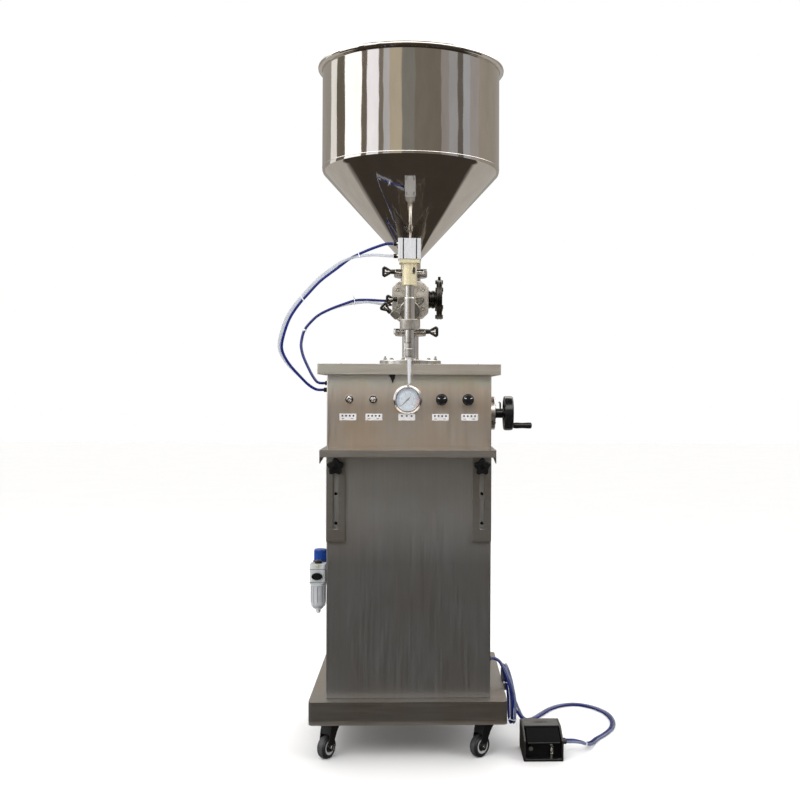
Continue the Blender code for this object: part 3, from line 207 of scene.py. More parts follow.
def brushed(name, colour, roughness, grain="Z", warm=(1.1, 1.0, 0.88), painted_light_fades=(), streak=0.14, metallic=1.0):
    """Brushed stainless sheet: fine grain, soft stains, and painted light and shade that changes with
    height where given.
    """
    s = Shader(name, colour, roughness, metallic)
    fine = s.noise(900.0, GRAIN[grain], 3.0, 0.7)
    wide = s.noise(90.0, GRAIN[grain], 3.0, 0.6)
    stain = s.noise(9.0, (1, 1, 0.6), 4.0, 0.6)
    warmed = tuple(c * w for c, w in zip(colour, warm))
    base = s.blend(s.remap(stain, 0.0, 1.0, 0.38, 0.66), colour, warmed)
    factor = s.times(s.remap(fine, 1 - streak, 1 + streak), s.remap(wide, 1 - streak / 2, 1 + streak / 2))
    factor = s.times(factor, s.remap(stain, 1.06, 0.92))
    # Painted light and shade: each fade scales the colour between two heights.
    for (z0, f0), (z1, f1) in painted_light_fades:
        factor = s.times(factor, s.remap(s.along("Z"), f0, f1, z0, z1))
    s.tint(base, factor)
    s.rough(fine, roughness - 0.07, roughness + 0.08)
    s.bump(fine, 0.12, 0.0002)
    return s.material


def cast(name, colour, roughness, depth=0.25, metallic=1.0):
    """Cast or tumbled metal: a soft orange-peel skin, with painted shade in its hollows."""
    s = Shader(name, colour, roughness, metallic)
    skin = s.noise(420.0, (1, 1, 1), 4.0, 0.6)
    stain = s.noise(60.0, (1, 1, 1), 3.0, 0.6)
    # The colour darkens where the skin's bump is low: painted shade in the hollows.
    s.tint(colour, s.times(s.remap(stain, 0.72, 1.15), s.remap(skin, 0.88, 1.1)))
    s.rough(stain, roughness - 0.1, roughness + 0.14)
    s.bump(skin, depth, 0.0003)
    return s.material


def turned_metal(name, colour, roughness, streak=0.08, metallic=1.0):
    """Turned bar: fine rings round the vertical axis and faint handling marks."""
    s = Shader(name, colour, roughness, metallic)
    rings = s.noise(2600.0, (0.02, 0.02, 1), 2.0, 0.5)
    marks = s.noise(45.0, (1, 1, 0.5), 4.0, 0.65)
    s.tint(colour, s.times(s.remap(rings, 1 - streak, 1 + streak), s.remap(marks, 1.05, 0.86)))
    s.rough(marks, roughness - 0.05, roughness + 0.1)
    s.bump(rings, 0.06, 0.0001)
    return s.material


def mirror_steel(name, colour):
    """Mirror-polished sheet with the slight upright waves that a rolled cylinder keeps."""
    s = Shader(name, colour, 0.045, 1.0)
    centred = s.vector("SUBTRACT", s.place, Vector(COLUMN) + ORIGIN)
    flat = s.vector("MULTIPLY", centred, (1.0, 1.0, 0.0))
    bearing = s.vector("NORMALIZE", flat)
    rise = s.vector("MULTIPLY_ADD", centred, (0.0, 0.0, 1.1), bearing)
    waves = s.cloud(rise, 3.2, 3.0, 0.45)
    haze = s.noise(30.0, (1, 1, 0.3), 4.0, 0.6)
    s.tint(colour, s.remap(haze, 0.93, 1.05))
    s.rough(haze, 0.03, 0.085)
    s.bump(waves, 0.25, 0.0035)
    return s.material


def moulded(name, colour, roughness, skin=0.25, worn=None, sheen=0.5):
    """Moulded plastic or paint with a fine leathery skin; worn is the colour of rubbed patches."""
    s = Shader(name, colour, roughness)
    s.set("Specular IOR Level", sheen)
    grain = s.noise(1400.0, (1, 1, 1), 3.0, 0.6)
    patch = s.noise(55.0, (1, 1, 1), 5.0, 0.65)
    if worn:
        s.set("Base Color", s.blend(s.remap(patch, 0.0, 1.0, 0.58, 0.74), colour, worn))
    else:
        s.tint(colour, s.remap(patch, 0.85, 1.2))
    s.rough(patch, roughness - 0.08, roughness + 0.12)
    s.bump(grain, skin, 0.00015)
    return s.material


def see_through(name, colour, roughness, tone=0.06, alpha=1.0):
    """Clear or translucent plastic; alpha is how much of it is seen."""
    s = Shader(name, colour, roughness)
    cloud = s.noise(80.0, (1, 1, 1), 3.0, 0.5)
    s.tint(colour, s.remap(cloud, 1 - tone, 1 + tone))
    s.rough(cloud, roughness, roughness + 0.08)
    s.set("IOR", 1.45)
    s.set("Alpha", alpha)
    return s.material


# Painted light: the box's colour brightens towards its top.
BOX_STEEL = brushed("box_steel", (0.7, 0.65, 0.61), 0.4, "Z", painted_light_fades=(((0.69, 0.78), (0.82, 1.08)),
    ((0.775, 1.0), (0.845, 1.55))), streak=0.04)
COVER_STEEL = brushed("cover_steel", (1.0, 0.94, 0.885), 0.38, "X", warm=(1.0, 1.0, 0.97), streak=0.05)
# Painted shade: a darker copy of the cover steel for the cover's upward faces.
LID_STEEL_PAINTED_SHADE = brushed("lid_steel_painted_shade", (0.3, 0.285, 0.26), 0.14, "X", streak=0.06)
# Painted shade: the shelf's front darkens at its lower edge.
SHELF_STEEL = brushed("shelf_steel", (0.58, 0.575, 0.575), 0.36, "X", warm=(1.05, 1.0, 0.94),
                      painted_light_fades=(((0.655, 0.86), (0.674, 1.0)),), streak=0.06)
# Painted shade: a darker copy of the shelf steel for the shelf's upward faces.
SHELF_DECK_PAINTED_SHADE = brushed("shelf_deck_painted_shade", (0.5, 0.49, 0.475), 0.13, "X", streak=0.06)
# Painted light: the cabinet's colour brightens a little at its foot and much more towards its top.
CABINET_STEEL = brushed("cabinet_steel", (0.43, 0.445, 0.465), 0.42, "Z", warm=(1.04, 1.0, 0.97),
                        painted_light_fades=(((0.1, 1.15), (0.35, 0.95)), ((0.43, 0.92), (0.66, 2.2))), streak=0.045)
# Painted light: the base's colour brightens along its lower part.
BASE_STEEL = brushed("base_steel", (0.395, 0.385, 0.375), 0.4, "X", warm=(1.06, 1.0, 0.93),
                     painted_light_fades=(((0.0865, 2.3), (0.096, 1.0)),), streak=0.07)
# Painted shade: a darker copy of the base steel for the base's upward faces.
DECK_STEEL_PAINTED_SHADE = brushed("deck_steel_painted_shade", (0.2, 0.188, 0.175), 0.36, "X", streak=0.08)
HOPPER_STEEL = mirror_steel("hopper_steel", (0.7, 0.665, 0.62))
TUBE_STEEL = turned_metal("tube_steel", (0.74, 0.725, 0.7), 0.16)
FLANGE_STEEL = turned_metal("flange_steel", (0.7, 0.68, 0.64), 0.24)
VALVE_STEEL = cast("valve_steel", (0.68, 0.64, 0.58), 0.34, 0.12, 0.75)
CLAMP_STEEL = cast("clamp_steel", (0.44, 0.415, 0.385), 0.25, 0.25)
COLLAR_STEEL = cast("collar_steel", (0.52, 0.49, 0.45), 0.34, 0.15, 0.85)
DARK_STEEL = cast("dark_steel", (0.06, 0.056, 0.052), 0.3, 0.25)
CHROME = turned_metal("chrome", (0.86, 0.86, 0.87), 0.08, 0.03)
BOLT_STEEL = turned_metal("bolt_steel", (0.78, 0.77, 0.74), 0.2, 0.05)
ALUMINIUM = brushed("aluminium", (0.62, 0.63, 0.66), 0.27, "Z", warm=(1.0, 1.0, 1.0), streak=0.05,
    metallic=0.35)
BRASS = turned_metal("brass", (0.72, 0.65, 0.44), 0.24, 0.07, 0.45)
BLACK_PLASTIC = moulded("black_plastic", (0.006, 0.006, 0.007), 0.16, 0.1)
BLACK_RUBBED = moulded("black_rubbed", (0.035, 0.034, 0.031), 0.42, 0.4, worn=(0.085, 0.08, 0.07))
BLACK_PAINT = moulded("black_paint", (0.006, 0.006, 0.0065), 0.34, 0.35, (0.022, 0.021, 0.019), 0.3)
TREAD_BLACK = moulded("tread_black", (0.002, 0.002, 0.0024), 0.45, 0.3, sheen=0.03)
RIM_GREY = moulded("rim_grey", (0.34, 0.34, 0.35), 0.3, 0.1)
TYRE = moulded("tyre", (0.01, 0.01, 0.011), 0.45, 0.35)
TREAD = moulded("tread", (0.045, 0.045, 0.048), 0.55, 0.35)
WHITE_PAINT = moulded("white_paint", (0.42, 0.44, 0.45), 0.32, 0.1)
BLUE_PLASTIC = moulded("blue_plastic", (0.004, 0.045, 0.26), 0.3, 0.12)
BLUE_DARK = moulded("blue_dark", (0.004, 0.016, 0.085), 0.34, 0.12)
LABEL_WHITE = moulded("label_white", (0.52, 0.52, 0.53), 0.45, 0.05)
INK = moulded("ink", (0.02, 0.02, 0.022), 0.5, 0.05)
DIAL_WHITE = moulded("dial_white", (0.33, 0.38, 0.44), 0.4, 0.02)
DIAL_BLUE = moulded("dial_blue", (0.05, 0.16, 0.42), 0.45, 0.02)
DIAL_RED = moulded("dial_red", (0.55, 0.03, 0.02), 0.45, 0.02)
BOWL_CLEAR = see_through("bowl_clear", (0.6, 0.62, 0.65), 0.1, alpha=0.5)
LENS_CLEAR = see_through("lens_clear", (0.98, 0.99, 1.0), 0.02, 0.01, 0.1)
HOSE_BLUE = see_through("hose_blue", (0.005, 0.013, 0.125), 0.18, 0.2)
HOSE_CLEAR = see_through("hose_clear", (0.4, 0.43, 0.5), 0.16, 0.12, 0.52)
HOSE_SMOKE = see_through("hose_smoke", (0.13, 0.15, 0.26), 0.16, 0.12, 0.8)
TIE_WHITE = moulded("tie_white", (0.72, 0.74, 0.78), 0.35, 0.05)


# ---------------------------------------------------------------- shapes
def mm(*points):
    """An outline written in millimetres, in metres."""
    return [(u / 1000, v / 1000) for u, v in points]


def on_axis(axis, radius, angle, along, centre):
    side, lift = radius * math.cos(angle), radius * math.sin(angle)
    offset = {"X": (along, side, lift), "Y": (side, along, lift), "Z": (side, lift, along)}[axis]
    return Vector(centre) + Vector(offset)


def eased(outline, radius):
    """The closed outline of a turned section with its corners rounded by up to radius."""
    points = []
    count = len(outline)
    for k, here in enumerate(outline):
        corner = Vector(here)
        before, after = Vector(outline[k - 1]) - corner, Vector(outline[(k + 1) % count]) - corner
        if here[0] == 0 or before.angle(after, math.pi) > math.radians(150):
            points.append(tuple(corner))
            continue
        reach = min(radius, before.length * 0.4, after.length * 0.4)
        start, end = corner + before.normalized() * reach, corner + after.normalized() * reach
        middle = start * 0.25 + corner * 0.5 + end * 0.25
        points += [tuple(start), tuple(middle), tuple(end)]
    return points


def lathe(outline, centre=(0, 0, 0), axis="Z", segments=64, ease=0.0005):
    """A solid of revolution; outline lists (radius, along) round the section."""
    if ease:
        outline = eased(outline, ease)
    bm = bmesh.new()
    rings = []
    for radius, along in outline:
        count = 1 if radius == 0 else segments
        rings.append([bm.verts.new(on_axis(axis, radius, math.tau * k / segments, along, centre))
            for k in range(count)])
    for n, ring in enumerate(rings):
        following = rings[(n + 1) % len(rings)]
        if len(ring) == 1 and len(following) == 1:
            continue
        for k in range(segments):
            corners = [ring[k % len(ring)], ring[(k + 1) % len(ring)],
                following[(k + 1) % len(following)], following[k % len(following)]]
            bm.faces.new(list(dict.fromkeys(corners)))
    return bm


def soften(bm, bevel):
    """Round the sharp edges of a bmesh."""
    if bevel:
        bm.normal_update()
        sharp = [e for e in bm.edges if e.is_manifold and e.calc_face_angle(0) > math.radians(28)]
        bmesh.ops.bevel(bm, geom=sharp, offset=bevel, segments=2, profile=0.6, affect="EDGES",
            clamp_overlap=True)
    return bm


def prism(outline, low, high, axis="Z", bevel=0.0004):
    """A flat outline pushed from low to high along the named axis."""
    def place(u, v, w):
        return {"X": (w, u, v), "Y": (u, w, v), "Z": (u, v, w)}[axis]

    bm = bmesh.new()
    ends = [[bm.verts.new(place(u, v, w)) for u, v in outline] for w in (low, high)]
    bm.faces.new(ends[0])
    bm.faces.new(ends[1])
    count = len(outline)
    for k in range(count):
        j = (k + 1) % count
        bm.faces.new((ends[0][k], ends[0][j], ends[1][j], ends[1][k]))
    bmesh.ops.recalc_face_normals(bm, faces=bm.faces[:])
    return soften(bm, bevel)


def block(low, high, bevel=0.0005):
    (x0, y0, z0), (x1, y1, z1) = low, high
    return prism([(x0, y0), (x1, y0), (x1, y1), (x0, y1)], z0, z1, "Z", bevel)


def aimed(start, end):
    """Matrix that carries the z axis from start towards end."""
    start, end = Vector(start), Vector(end)
    return Matrix.Translation(start) @ (end - start).to_track_quat("Z", "Y").to_matrix().to_4x4()


def bar(start, end, radius, segments=24, ease=0.0004):
    length = (Vector(end) - Vector(start)).length
    bm = lathe([(0, 0), (radius, 0), (radius, length), (0, length)], segments=segments, ease=ease)
    bm.transform(aimed(start, end))
    return bm


def polygon(count, radius, centre=(0.0, 0.0), rib=0.0, rise=None):
    """A ring of points; every second one stands out by rib, and rise is its other radius if oval."""
    points = []
    for k in range(count):
        angle, out = math.tau * k / count, rib * (k % 2)
        points.append((centre[0] + (radius + out) * math.cos(angle), centre[1] + ((rise or radius) + out)
            * math.sin(angle)))
    return points


def hexagon(start, end, across, bevel=0.0004):
    """A hexagonal head or nut between two points, across its flats."""
    length = (Vector(end) - Vector(start)).length
    bm = prism(polygon(6, across / math.sqrt(3)), 0, length, "Z", bevel)
    bm.transform(aimed(start, end))
    return bm


def sweep(points, radius, closed=False, segments=12):
    """A round bar along points, with flat ends where it is open."""
    points = [Vector(p) for p in points]
    bm = bmesh.new()
    rings = []
    count = len(points)
    side = None
    for k, p in enumerate(points):
        ahead = points[(k + 1) % count] if closed or k + 1 < count else p
        behind = points[k - 1] if closed or k else p
        along = (ahead - behind).normalized()
        if side is None:
            side = along.orthogonal().normalized()
        side = (side - along * side.dot(along)).normalized()
        other = along.cross(side)
        rings.append([bm.verts.new(p + side * math.cos(math.tau * n / segments) * radius + other
            * math.sin(math.tau * n / segments) * radius) for n in range(segments)])
    last = count if closed else count - 1
    for k in range(last):
        a, b = rings[k], rings[(k + 1) % count]
        shift = 0
        if closed and k == count - 1:
            shift = min(range(segments), key=lambda s: (a[0].co - b[s].co).length)
        for n in range(segments):
            m = (n + 1) % segments
            bm.faces.new((a[n], a[m], b[(m + shift) % segments], b[(n + shift) % segments]))
    if not closed:
        bm.faces.new(rings[0])
        bm.faces.new(rings[-1])
    return bm


def copy_of(node, bevel):
    """The CAD node's own shape in the machine's frame, with its edges broken by a small bevel."""
    bm = bmesh.new()
    bm.from_mesh(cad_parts[node].data)
    bmesh.ops.translate(bm, verts=bm.verts[:], vec=-ORIGIN)
    bmesh.ops.remove_doubles(bm, verts=bm.verts[:], dist=0.00002)
    bmesh.ops.dissolve_limit(bm, angle_limit=math.radians(2), verts=bm.verts[:], edges=bm.edges[:])
    return soften(bm, bevel)


class Piece:
    """Shapes gathered in the machine's frame and handed to the CAD frame as one object."""

    def __init__(self, name):
        self.name = name
        self.bm = bmesh.new()
        self.paints = []

    def add(self, shape, paint, matrix=None):
        if paint not in self.paints:
            self.paints.append(paint)
        if matrix is not None:
            shape.transform(matrix)
        bmesh.ops.recalc_face_normals(shape, faces=shape.faces[:])
        mesh = bpy.data.meshes.new("shape")
        for face in shape.faces:
            face.material_index = self.paints.index(paint)
        shape.to_mesh(mesh)
        shape.free()
        self.bm.from_mesh(mesh)
        bpy.data.meshes.remove(mesh)
        return self

    def done(self, body, slot, replaces=(), angle=38):
        self.bm.transform(Matrix.Translation(ORIGIN))
        mesh = bpy.data.meshes.new(self.name)
        self.bm.to_mesh(mesh)
        self.bm.free()
        for paint in self.paints:
            mesh.materials.append(paint)
        mesh.shade_smooth()
        mesh.set_sharp_from_angle(angle=math.radians(angle))
        obj = bpy.data.objects.new(self.name, mesh)
        bpy.context.scene.collection.objects.link(obj)
        weighted = obj.modifiers.new("weighted_normals", "WEIGHTED_NORMAL")
        weighted.keep_sharp = True
        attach(obj, body)
        if replaces:
            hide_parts(*replaces)
        return obj


def skin(name, node, bevel, paint, slot, body="machine", angle=38):
    """A piece that is the CAD node's own shape."""
    Piece(name).add(copy_of(node, bevel), paint).done(body, slot, (node,), angle)


def ferrule(bore, rim, tube, joint, away):
    """The section of a clamped pipe end; away is +1 or -1, the way the pipe leaves its joint."""
    return [(bore, joint), (rim, joint), (rim, joint + away * 0.0018), (tube, joint + away * 0.005)]


def around(axis, centre, angle):
    """A turn by angle about an axis through centre."""
    return Matrix.Translation(centre) @ Matrix.Rotation(angle, 4,
        axis) @ Matrix.Translation(-Vector(centre))


# ---------------------------------------------------------------- hoses
# Each route runs from the port it leaves to the port it enters, as the CAD hoses do.
HOSES = {
    "nozzle_hose_blue": ("blue", (
        (-0.0351, -0.0430, 1.1250), (-0.0480, -0.0430, 1.1250), (-0.0700, -0.0427, 1.1185),
        (-0.0970, -0.0410, 1.1080), (-0.1269, -0.0382, 1.0939), (-0.1427, -0.0375, 1.0823),
        (-0.1578, -0.0376, 1.0706), (-0.1913, -0.0362, 1.0449), (-0.2159, -0.0341, 1.0193),
        (-0.2384, -0.0310, 0.9939), (-0.2577, -0.0238, 0.9658), (-0.2723, -0.0119, 0.9301),
        (-0.2778, -0.0035, 0.9049), (-0.2751, 0.0032, 0.8897), (-0.2633, 0.0134, 0.8674),
        (-0.2425, 0.0255, 0.8425), (-0.2219, 0.0367, 0.8210), (-0.2060, 0.0400, 0.8120),
        (-0.1906, 0.0400, 0.8115))),
    "nozzle_hose_clear": ("clear", (
        (-0.0351, -0.0430, 1.0990), (-0.0480, -0.0430, 1.0990), (-0.0700, -0.0437, 1.1005),
        (-0.0970, -0.0450, 1.0990), (-0.1271, -0.0448, 1.0931), (-0.1453, -0.0425, 1.0857),
        (-0.1617, -0.0394, 1.0756), (-0.1957, -0.0362, 1.0498), (-0.2208, -0.0341, 1.0237),
        (-0.2436, -0.0310, 0.9979), (-0.2636, -0.0238, 0.9690), (-0.2785, -0.0113, 0.9324),
        (-0.2839, -0.0015, 0.9061), (-0.2804, 0.0070, 0.8893), (-0.2672, 0.0186, 0.8671),
        (-0.2450, 0.0315, 0.8435), (-0.2236, 0.0428, 0.8225), (-0.2065, 0.0480, 0.8122),
        (-0.1906, 0.0480, 0.8115))),
    "valve_hose_blue": ("blue", (
        (-0.0521, 0.1435, 1.0185), (-0.0650, 0.1435, 1.0186), (-0.0979, 0.1419, 1.0201),
        (-0.1273, 0.1359, 1.0183), (-0.1496, 0.1309, 1.0107), (-0.1854, 0.1230, 0.9961),
        (-0.2110, 0.1161, 0.9816), (-0.2275, 0.1093, 0.9654), (-0.2403, 0.1036, 0.9477),
        (-0.2463, 0.0978, 0.9246), (-0.2470, 0.0931, 0.9101), (-0.2419, 0.0875, 0.8888),
        (-0.2304, 0.0818, 0.8636), (-0.2174, 0.0753, 0.8402), (-0.2070, 0.0722, 0.8280),
        (-0.1985, 0.0720, 0.8265), (-0.1906, 0.0720, 0.8265))),
    "valve_hose_clear": ("clear", (
        (-0.0521, 0.1435, 1.0105), (-0.0650, 0.1435, 1.0106), (-0.0971, 0.1381, 1.0148),
        (-0.1267, 0.1381, 1.0122), (-0.1499, 0.1371, 1.0083), (-0.1866, 0.1295, 0.9954),
        (-0.2123, 0.1224, 0.9806), (-0.2287, 0.1157, 0.9641), (-0.2409, 0.1099, 0.9463),
        (-0.2465, 0.1042, 0.9229), (-0.2467, 0.0994, 0.9084), (-0.2413, 0.0940, 0.8875),
        (-0.2298, 0.0882, 0.8624), (-0.2166, 0.0817, 0.8388), (-0.2070, 0.0802, 0.8280),
        (-0.1985, 0.0800, 0.8265), (-0.1906, 0.0800, 0.8265))),
    "pedal_hose_blue": ("blue", (
        (0.1914, 0.1300, 0.1900), (0.1995, 0.1296, 0.1887), (0.2080, 0.1291, 0.1840),
        (0.2154, 0.1248, 0.1725), (0.2238, 0.1157, 0.1540), (0.2319, 0.1069, 0.1300),
        (0.2368, 0.1000, 0.1030), (0.2373, 0.0980, 0.0780), (0.2363, 0.1052, 0.0512),
        (0.2343, 0.1225, 0.0440), (0.2328, 0.1398, 0.0512), (0.2318, 0.1468, 0.0740),
        (0.2308, 0.1470, 0.1000), (0.2278, 0.1465, 0.1230), (0.2233, 0.1470, 0.1420),
        (0.2206, 0.1540, 0.1580), (0.2206, 0.1705, 0.1645), (0.2238, 0.1870, 0.1580),
        (0.2303, 0.1945, 0.1420), (0.2368, 0.1955, 0.1200), (0.2408, 0.1955, 0.1000),
        (0.2444, 0.1992, 0.0799), (0.2493, 0.2033, 0.0603), (0.2600, 0.2134, 0.0378),
        (0.2740, 0.2317, 0.0176), (0.2894, 0.2509, 0.0074), (0.3078, 0.2776, 0.0040),
        (0.3330, 0.3180, 0.0036), (0.3600, 0.3600, 0.0036), (0.3900, 0.3860, 0.0036),
        (0.4240, 0.3940, 0.0036), (0.4600, 0.3720, 0.0036), (0.4870, 0.3230, 0.0036),
        (0.4930, 0.2620, 0.0036), (0.4820, 0.2050, 0.0036), (0.4570, 0.1580, 0.0036),
        (0.4330, 0.1250, 0.0036), (0.4170, 0.0950, 0.0050), (0.4020, 0.0680, 0.0120),
        (0.3870, 0.0480, 0.0220), (0.3700, 0.0370, 0.0292), (0.3521, 0.0360, 0.0300))),
    "pedal_hose_clear": ("clear", (
        (0.1914, 0.1375, 0.1900), (0.1995, 0.1371, 0.1887), (0.2080, 0.1359, 0.1840),
        (0.2176, 0.1312, 0.1725), (0.2286, 0.1203, 0.1540), (0.2381, 0.1091, 0.1300),
        (0.2432, 0.1000, 0.1030), (0.2437, 0.0980, 0.0780), (0.2427, 0.1052, 0.0512),
        (0.2407, 0.1225, 0.0440), (0.2392, 0.1398, 0.0512), (0.2382, 0.1468, 0.0740),
        (0.2372, 0.1470, 0.1000), (0.2342, 0.1465, 0.1230), (0.2297, 0.1470, 0.1420),
        (0.2270, 0.1540, 0.1580), (0.2270, 0.1705, 0.1645), (0.2302, 0.1870, 0.1580),
        (0.2367, 0.1945, 0.1420), (0.2432, 0.1955, 0.1200), (0.2472, 0.1955, 0.1000),
        (0.2496, 0.1948, 0.0801), (0.2557, 0.2027, 0.0625), (0.2640, 0.2166, 0.0422),
        (0.2730, 0.2363, 0.0224), (0.2846, 0.2551, 0.0096), (0.3022, 0.2814, 0.0040),
        (0.3270, 0.3218, 0.0036), (0.3548, 0.3645, 0.0036), (0.3870, 0.3925, 0.0036),
        (0.4250, 0.4008, 0.0036), (0.4646, 0.3768, 0.0036), (0.4935, 0.3247, 0.0036),
        (0.4997, 0.2613, 0.0036), (0.4883, 0.2023, 0.0036), (0.4628, 0.1542, 0.0036),
        (0.4392, 0.1205, 0.0036), (0.4232, 0.0888, 0.0050), (0.4085, 0.0590, 0.0120),
        (0.3925, 0.0360, 0.0220), (0.3720, 0.0232, 0.0292), (0.3521, 0.0220, 0.0300))),
}


def smooth_route(points, step):
    """Points at an even step along the centripetal Catmull-Rom curve through a route."""
    route = [Vector(p) for p in points]
    route = [2 * route[0] - route[1]] + route + [2 * route[-1] - route[-2]]
    dense = []
    for p0, p1, p2, p3 in zip(route, route[1:], route[2:], route[3:]):
        t1 = (p1 - p0).length ** 0.5
        t2 = t1 + (p2 - p1).length ** 0.5
        t3 = t2 + (p3 - p2).length ** 0.5
        for k in range(16):
            t = t1 + (t2 - t1) * k / 16
            a1 = p0.lerp(p1, t / t1)
            a2 = p1.lerp(p2, (t - t1) / (t2 - t1))
            a3 = p2.lerp(p3, (t - t2) / (t3 - t2))
            b1 = a1.lerp(a2, t / t2)
            b2 = a2.lerp(a3, (t - t1) / (t3 - t1))
            dense.append(b1.lerp(b2, (t - t1) / (t2 - t1)))
    dense.append(route[-2])
    lengths = [0.0]
    for a, b in zip(dense, dense[1:]):
        lengths.append(lengths[-1] + (b - a).length)
    count = max(2, round(lengths[-1] / step))
    even, k = [], 0
    for n in range(count):
        goal = lengths[-1] * n / count
        while lengths[k + 1] < goal:
            k += 1
        even.append(dense[k].lerp(dense[k + 1], (goal - lengths[k]) / (lengths[k + 1] - lengths[k])))
    return even + [dense[-1]]


def tie(piece, at, along, across, reach):
    """A cable tie round a pair of hoses: a flat band, its head and a cut tail."""
    along, across = along.normalized(), across.normalized()
    other = along.cross(across)
    loop = [at + across * math.cos(a) * reach + other * math.sin(a) * (HOSE_D / 2 + 0.0008)
        for a in (math.tau * k / 20 for k in range(20))]
    piece.add(sweep(loop, 0.0011, True, 8), TIE_WHITE)
    head = at + across * (reach + 0.001)
    piece.add(bar(head - along * 0.002, head + along * 0.002, 0.0022, 8), TIE_WHITE)
    piece.add(bar(head, head + (across + Vector((0, -0.2, -0.5))).normalized() * 0.01, 0.0008, 6),
        TIE_WHITE)


def make_hoses():
    routes = {}
    for name, (kind, points) in HOSES.items():
        route = smooth_route(points, 0.006)
        routes[name] = route
        curve = bpy.data.curves.new(name + "_tube", "CURVE")
        curve.dimensions = "3D"
        curve.bevel_depth = HOSE_D / 2
        curve.bevel_resolution = 5
        curve.use_fill_caps = True
        spline = curve.splines.new("POLY")
        spline.points.add(len(route) - 1)
        for point, place in zip(spline.points, route):
            point.co = (*(place + ORIGIN), 1.0)
        spline.use_smooth = True
        clear = HOSE_SMOKE if name.startswith("pedal") else HOSE_CLEAR
        curve.materials.append(HOSE_BLUE if kind == "blue" else clear)
        hose = bpy.data.objects.new(name + "_tube", curve)
        bpy.context.scene.collection.objects.link(hose)
        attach(hose, "machine")
        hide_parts(name)
    return routes


def make_ties(routes):
    ties = Piece("hose_ties")
    for pair, places in (("nozzle", (0.16, 0.47)), ("valve", (0.22, 0.6)), ("pedal", (0.13, 0.24, 0.97))):
        blue, clear = routes[pair + "_hose_blue"], routes[pair + "_hose_clear"]
        for share in places:
            k = round(share * (len(blue) - 2))
            here = blue[k]
            there = min(clear, key=lambda p: (p - here).length)
            gap = there - here
            tie(ties, (here + there) / 2, blue[k + 1] - blue[k], -gap, gap.length / 2 + HOSE_D / 2 + 0.0008)
    ties.done("machine", "clear_tube")


# ---------------------------------------------------------------- casings and cart
def make_casings():
    for name, node, sides, painted_shade_top, slot in (
            ("base_pan_skin", "base_pan", BASE_STEEL, DECK_STEEL_PAINTED_SHADE, "dark_brushed_stainless"),
            ("top_cover_skin", "top_cover", COVER_STEEL, LID_STEEL_PAINTED_SHADE, "brushed_stainless"),
            ("bottle_shelf_skin", "bottle_shelf", SHELF_STEEL, SHELF_DECK_PAINTED_SHADE, "brushed_stainless")):
        casing = Piece(name).add(copy_of(node, 0.0005), sides)
        casing.paints.append(painted_shade_top)
        casing.bm.normal_update()
        # Upward faces get the darker copy of the steel: painted shade on the tops.
        for face in casing.bm.faces:
            face.material_index = 1 if face.normal.z > 0.9 else 0
        casing.done("bottle_shelf" if node == "bottle_shelf" else "machine", slot, (node,), 30)
    skin("cabinet_skin", "cabinet_shell", 0.0004, CABINET_STEEL, "dark_brushed_stainless", angle=30)
    skin("control_box_skin", "control_box_shell", 0.0004, BOX_STEEL, "brushed_stainless", angle=30)
    skin("rear_panel_skin", "rear_panel", 0.0004, CABINET_STEEL, "dark_brushed_stainless", angle=30)

    screws = Piece("casing_screws")
    for x in (-0.154, 0.154):
        for y in (0.06, 0.34):
            screws.add(lathe(mm((0, 0), (4.2, 0), (4.2, 0.8), (3, 2.4), (0, 3)), (x, y, COVER_TOP),
                segments=20), BOLT_STEEL)
    back = high_corner("rear_panel").y
    for x in (-0.17, 0.17):
        for z in (0.155, 0.385, 0.615, 0.83):
            screws.add(lathe(mm((0, 0), (4.2, 0), (4.2, 0.8), (3, 2), (0, 2.4)), (x, back, z), "Y", 20),
                BOLT_STEEL)
    screws.done("machine", "polished_stainless")


CASTERS = (
    ("front_left", -0.171, 0.032, -120.0),
    ("front_right", 0.171, 0.032, -135.0),
    ("rear_left", -0.171, 0.353, -140.0),
    ("rear_right", 0.171, 0.353, -115.0),
)


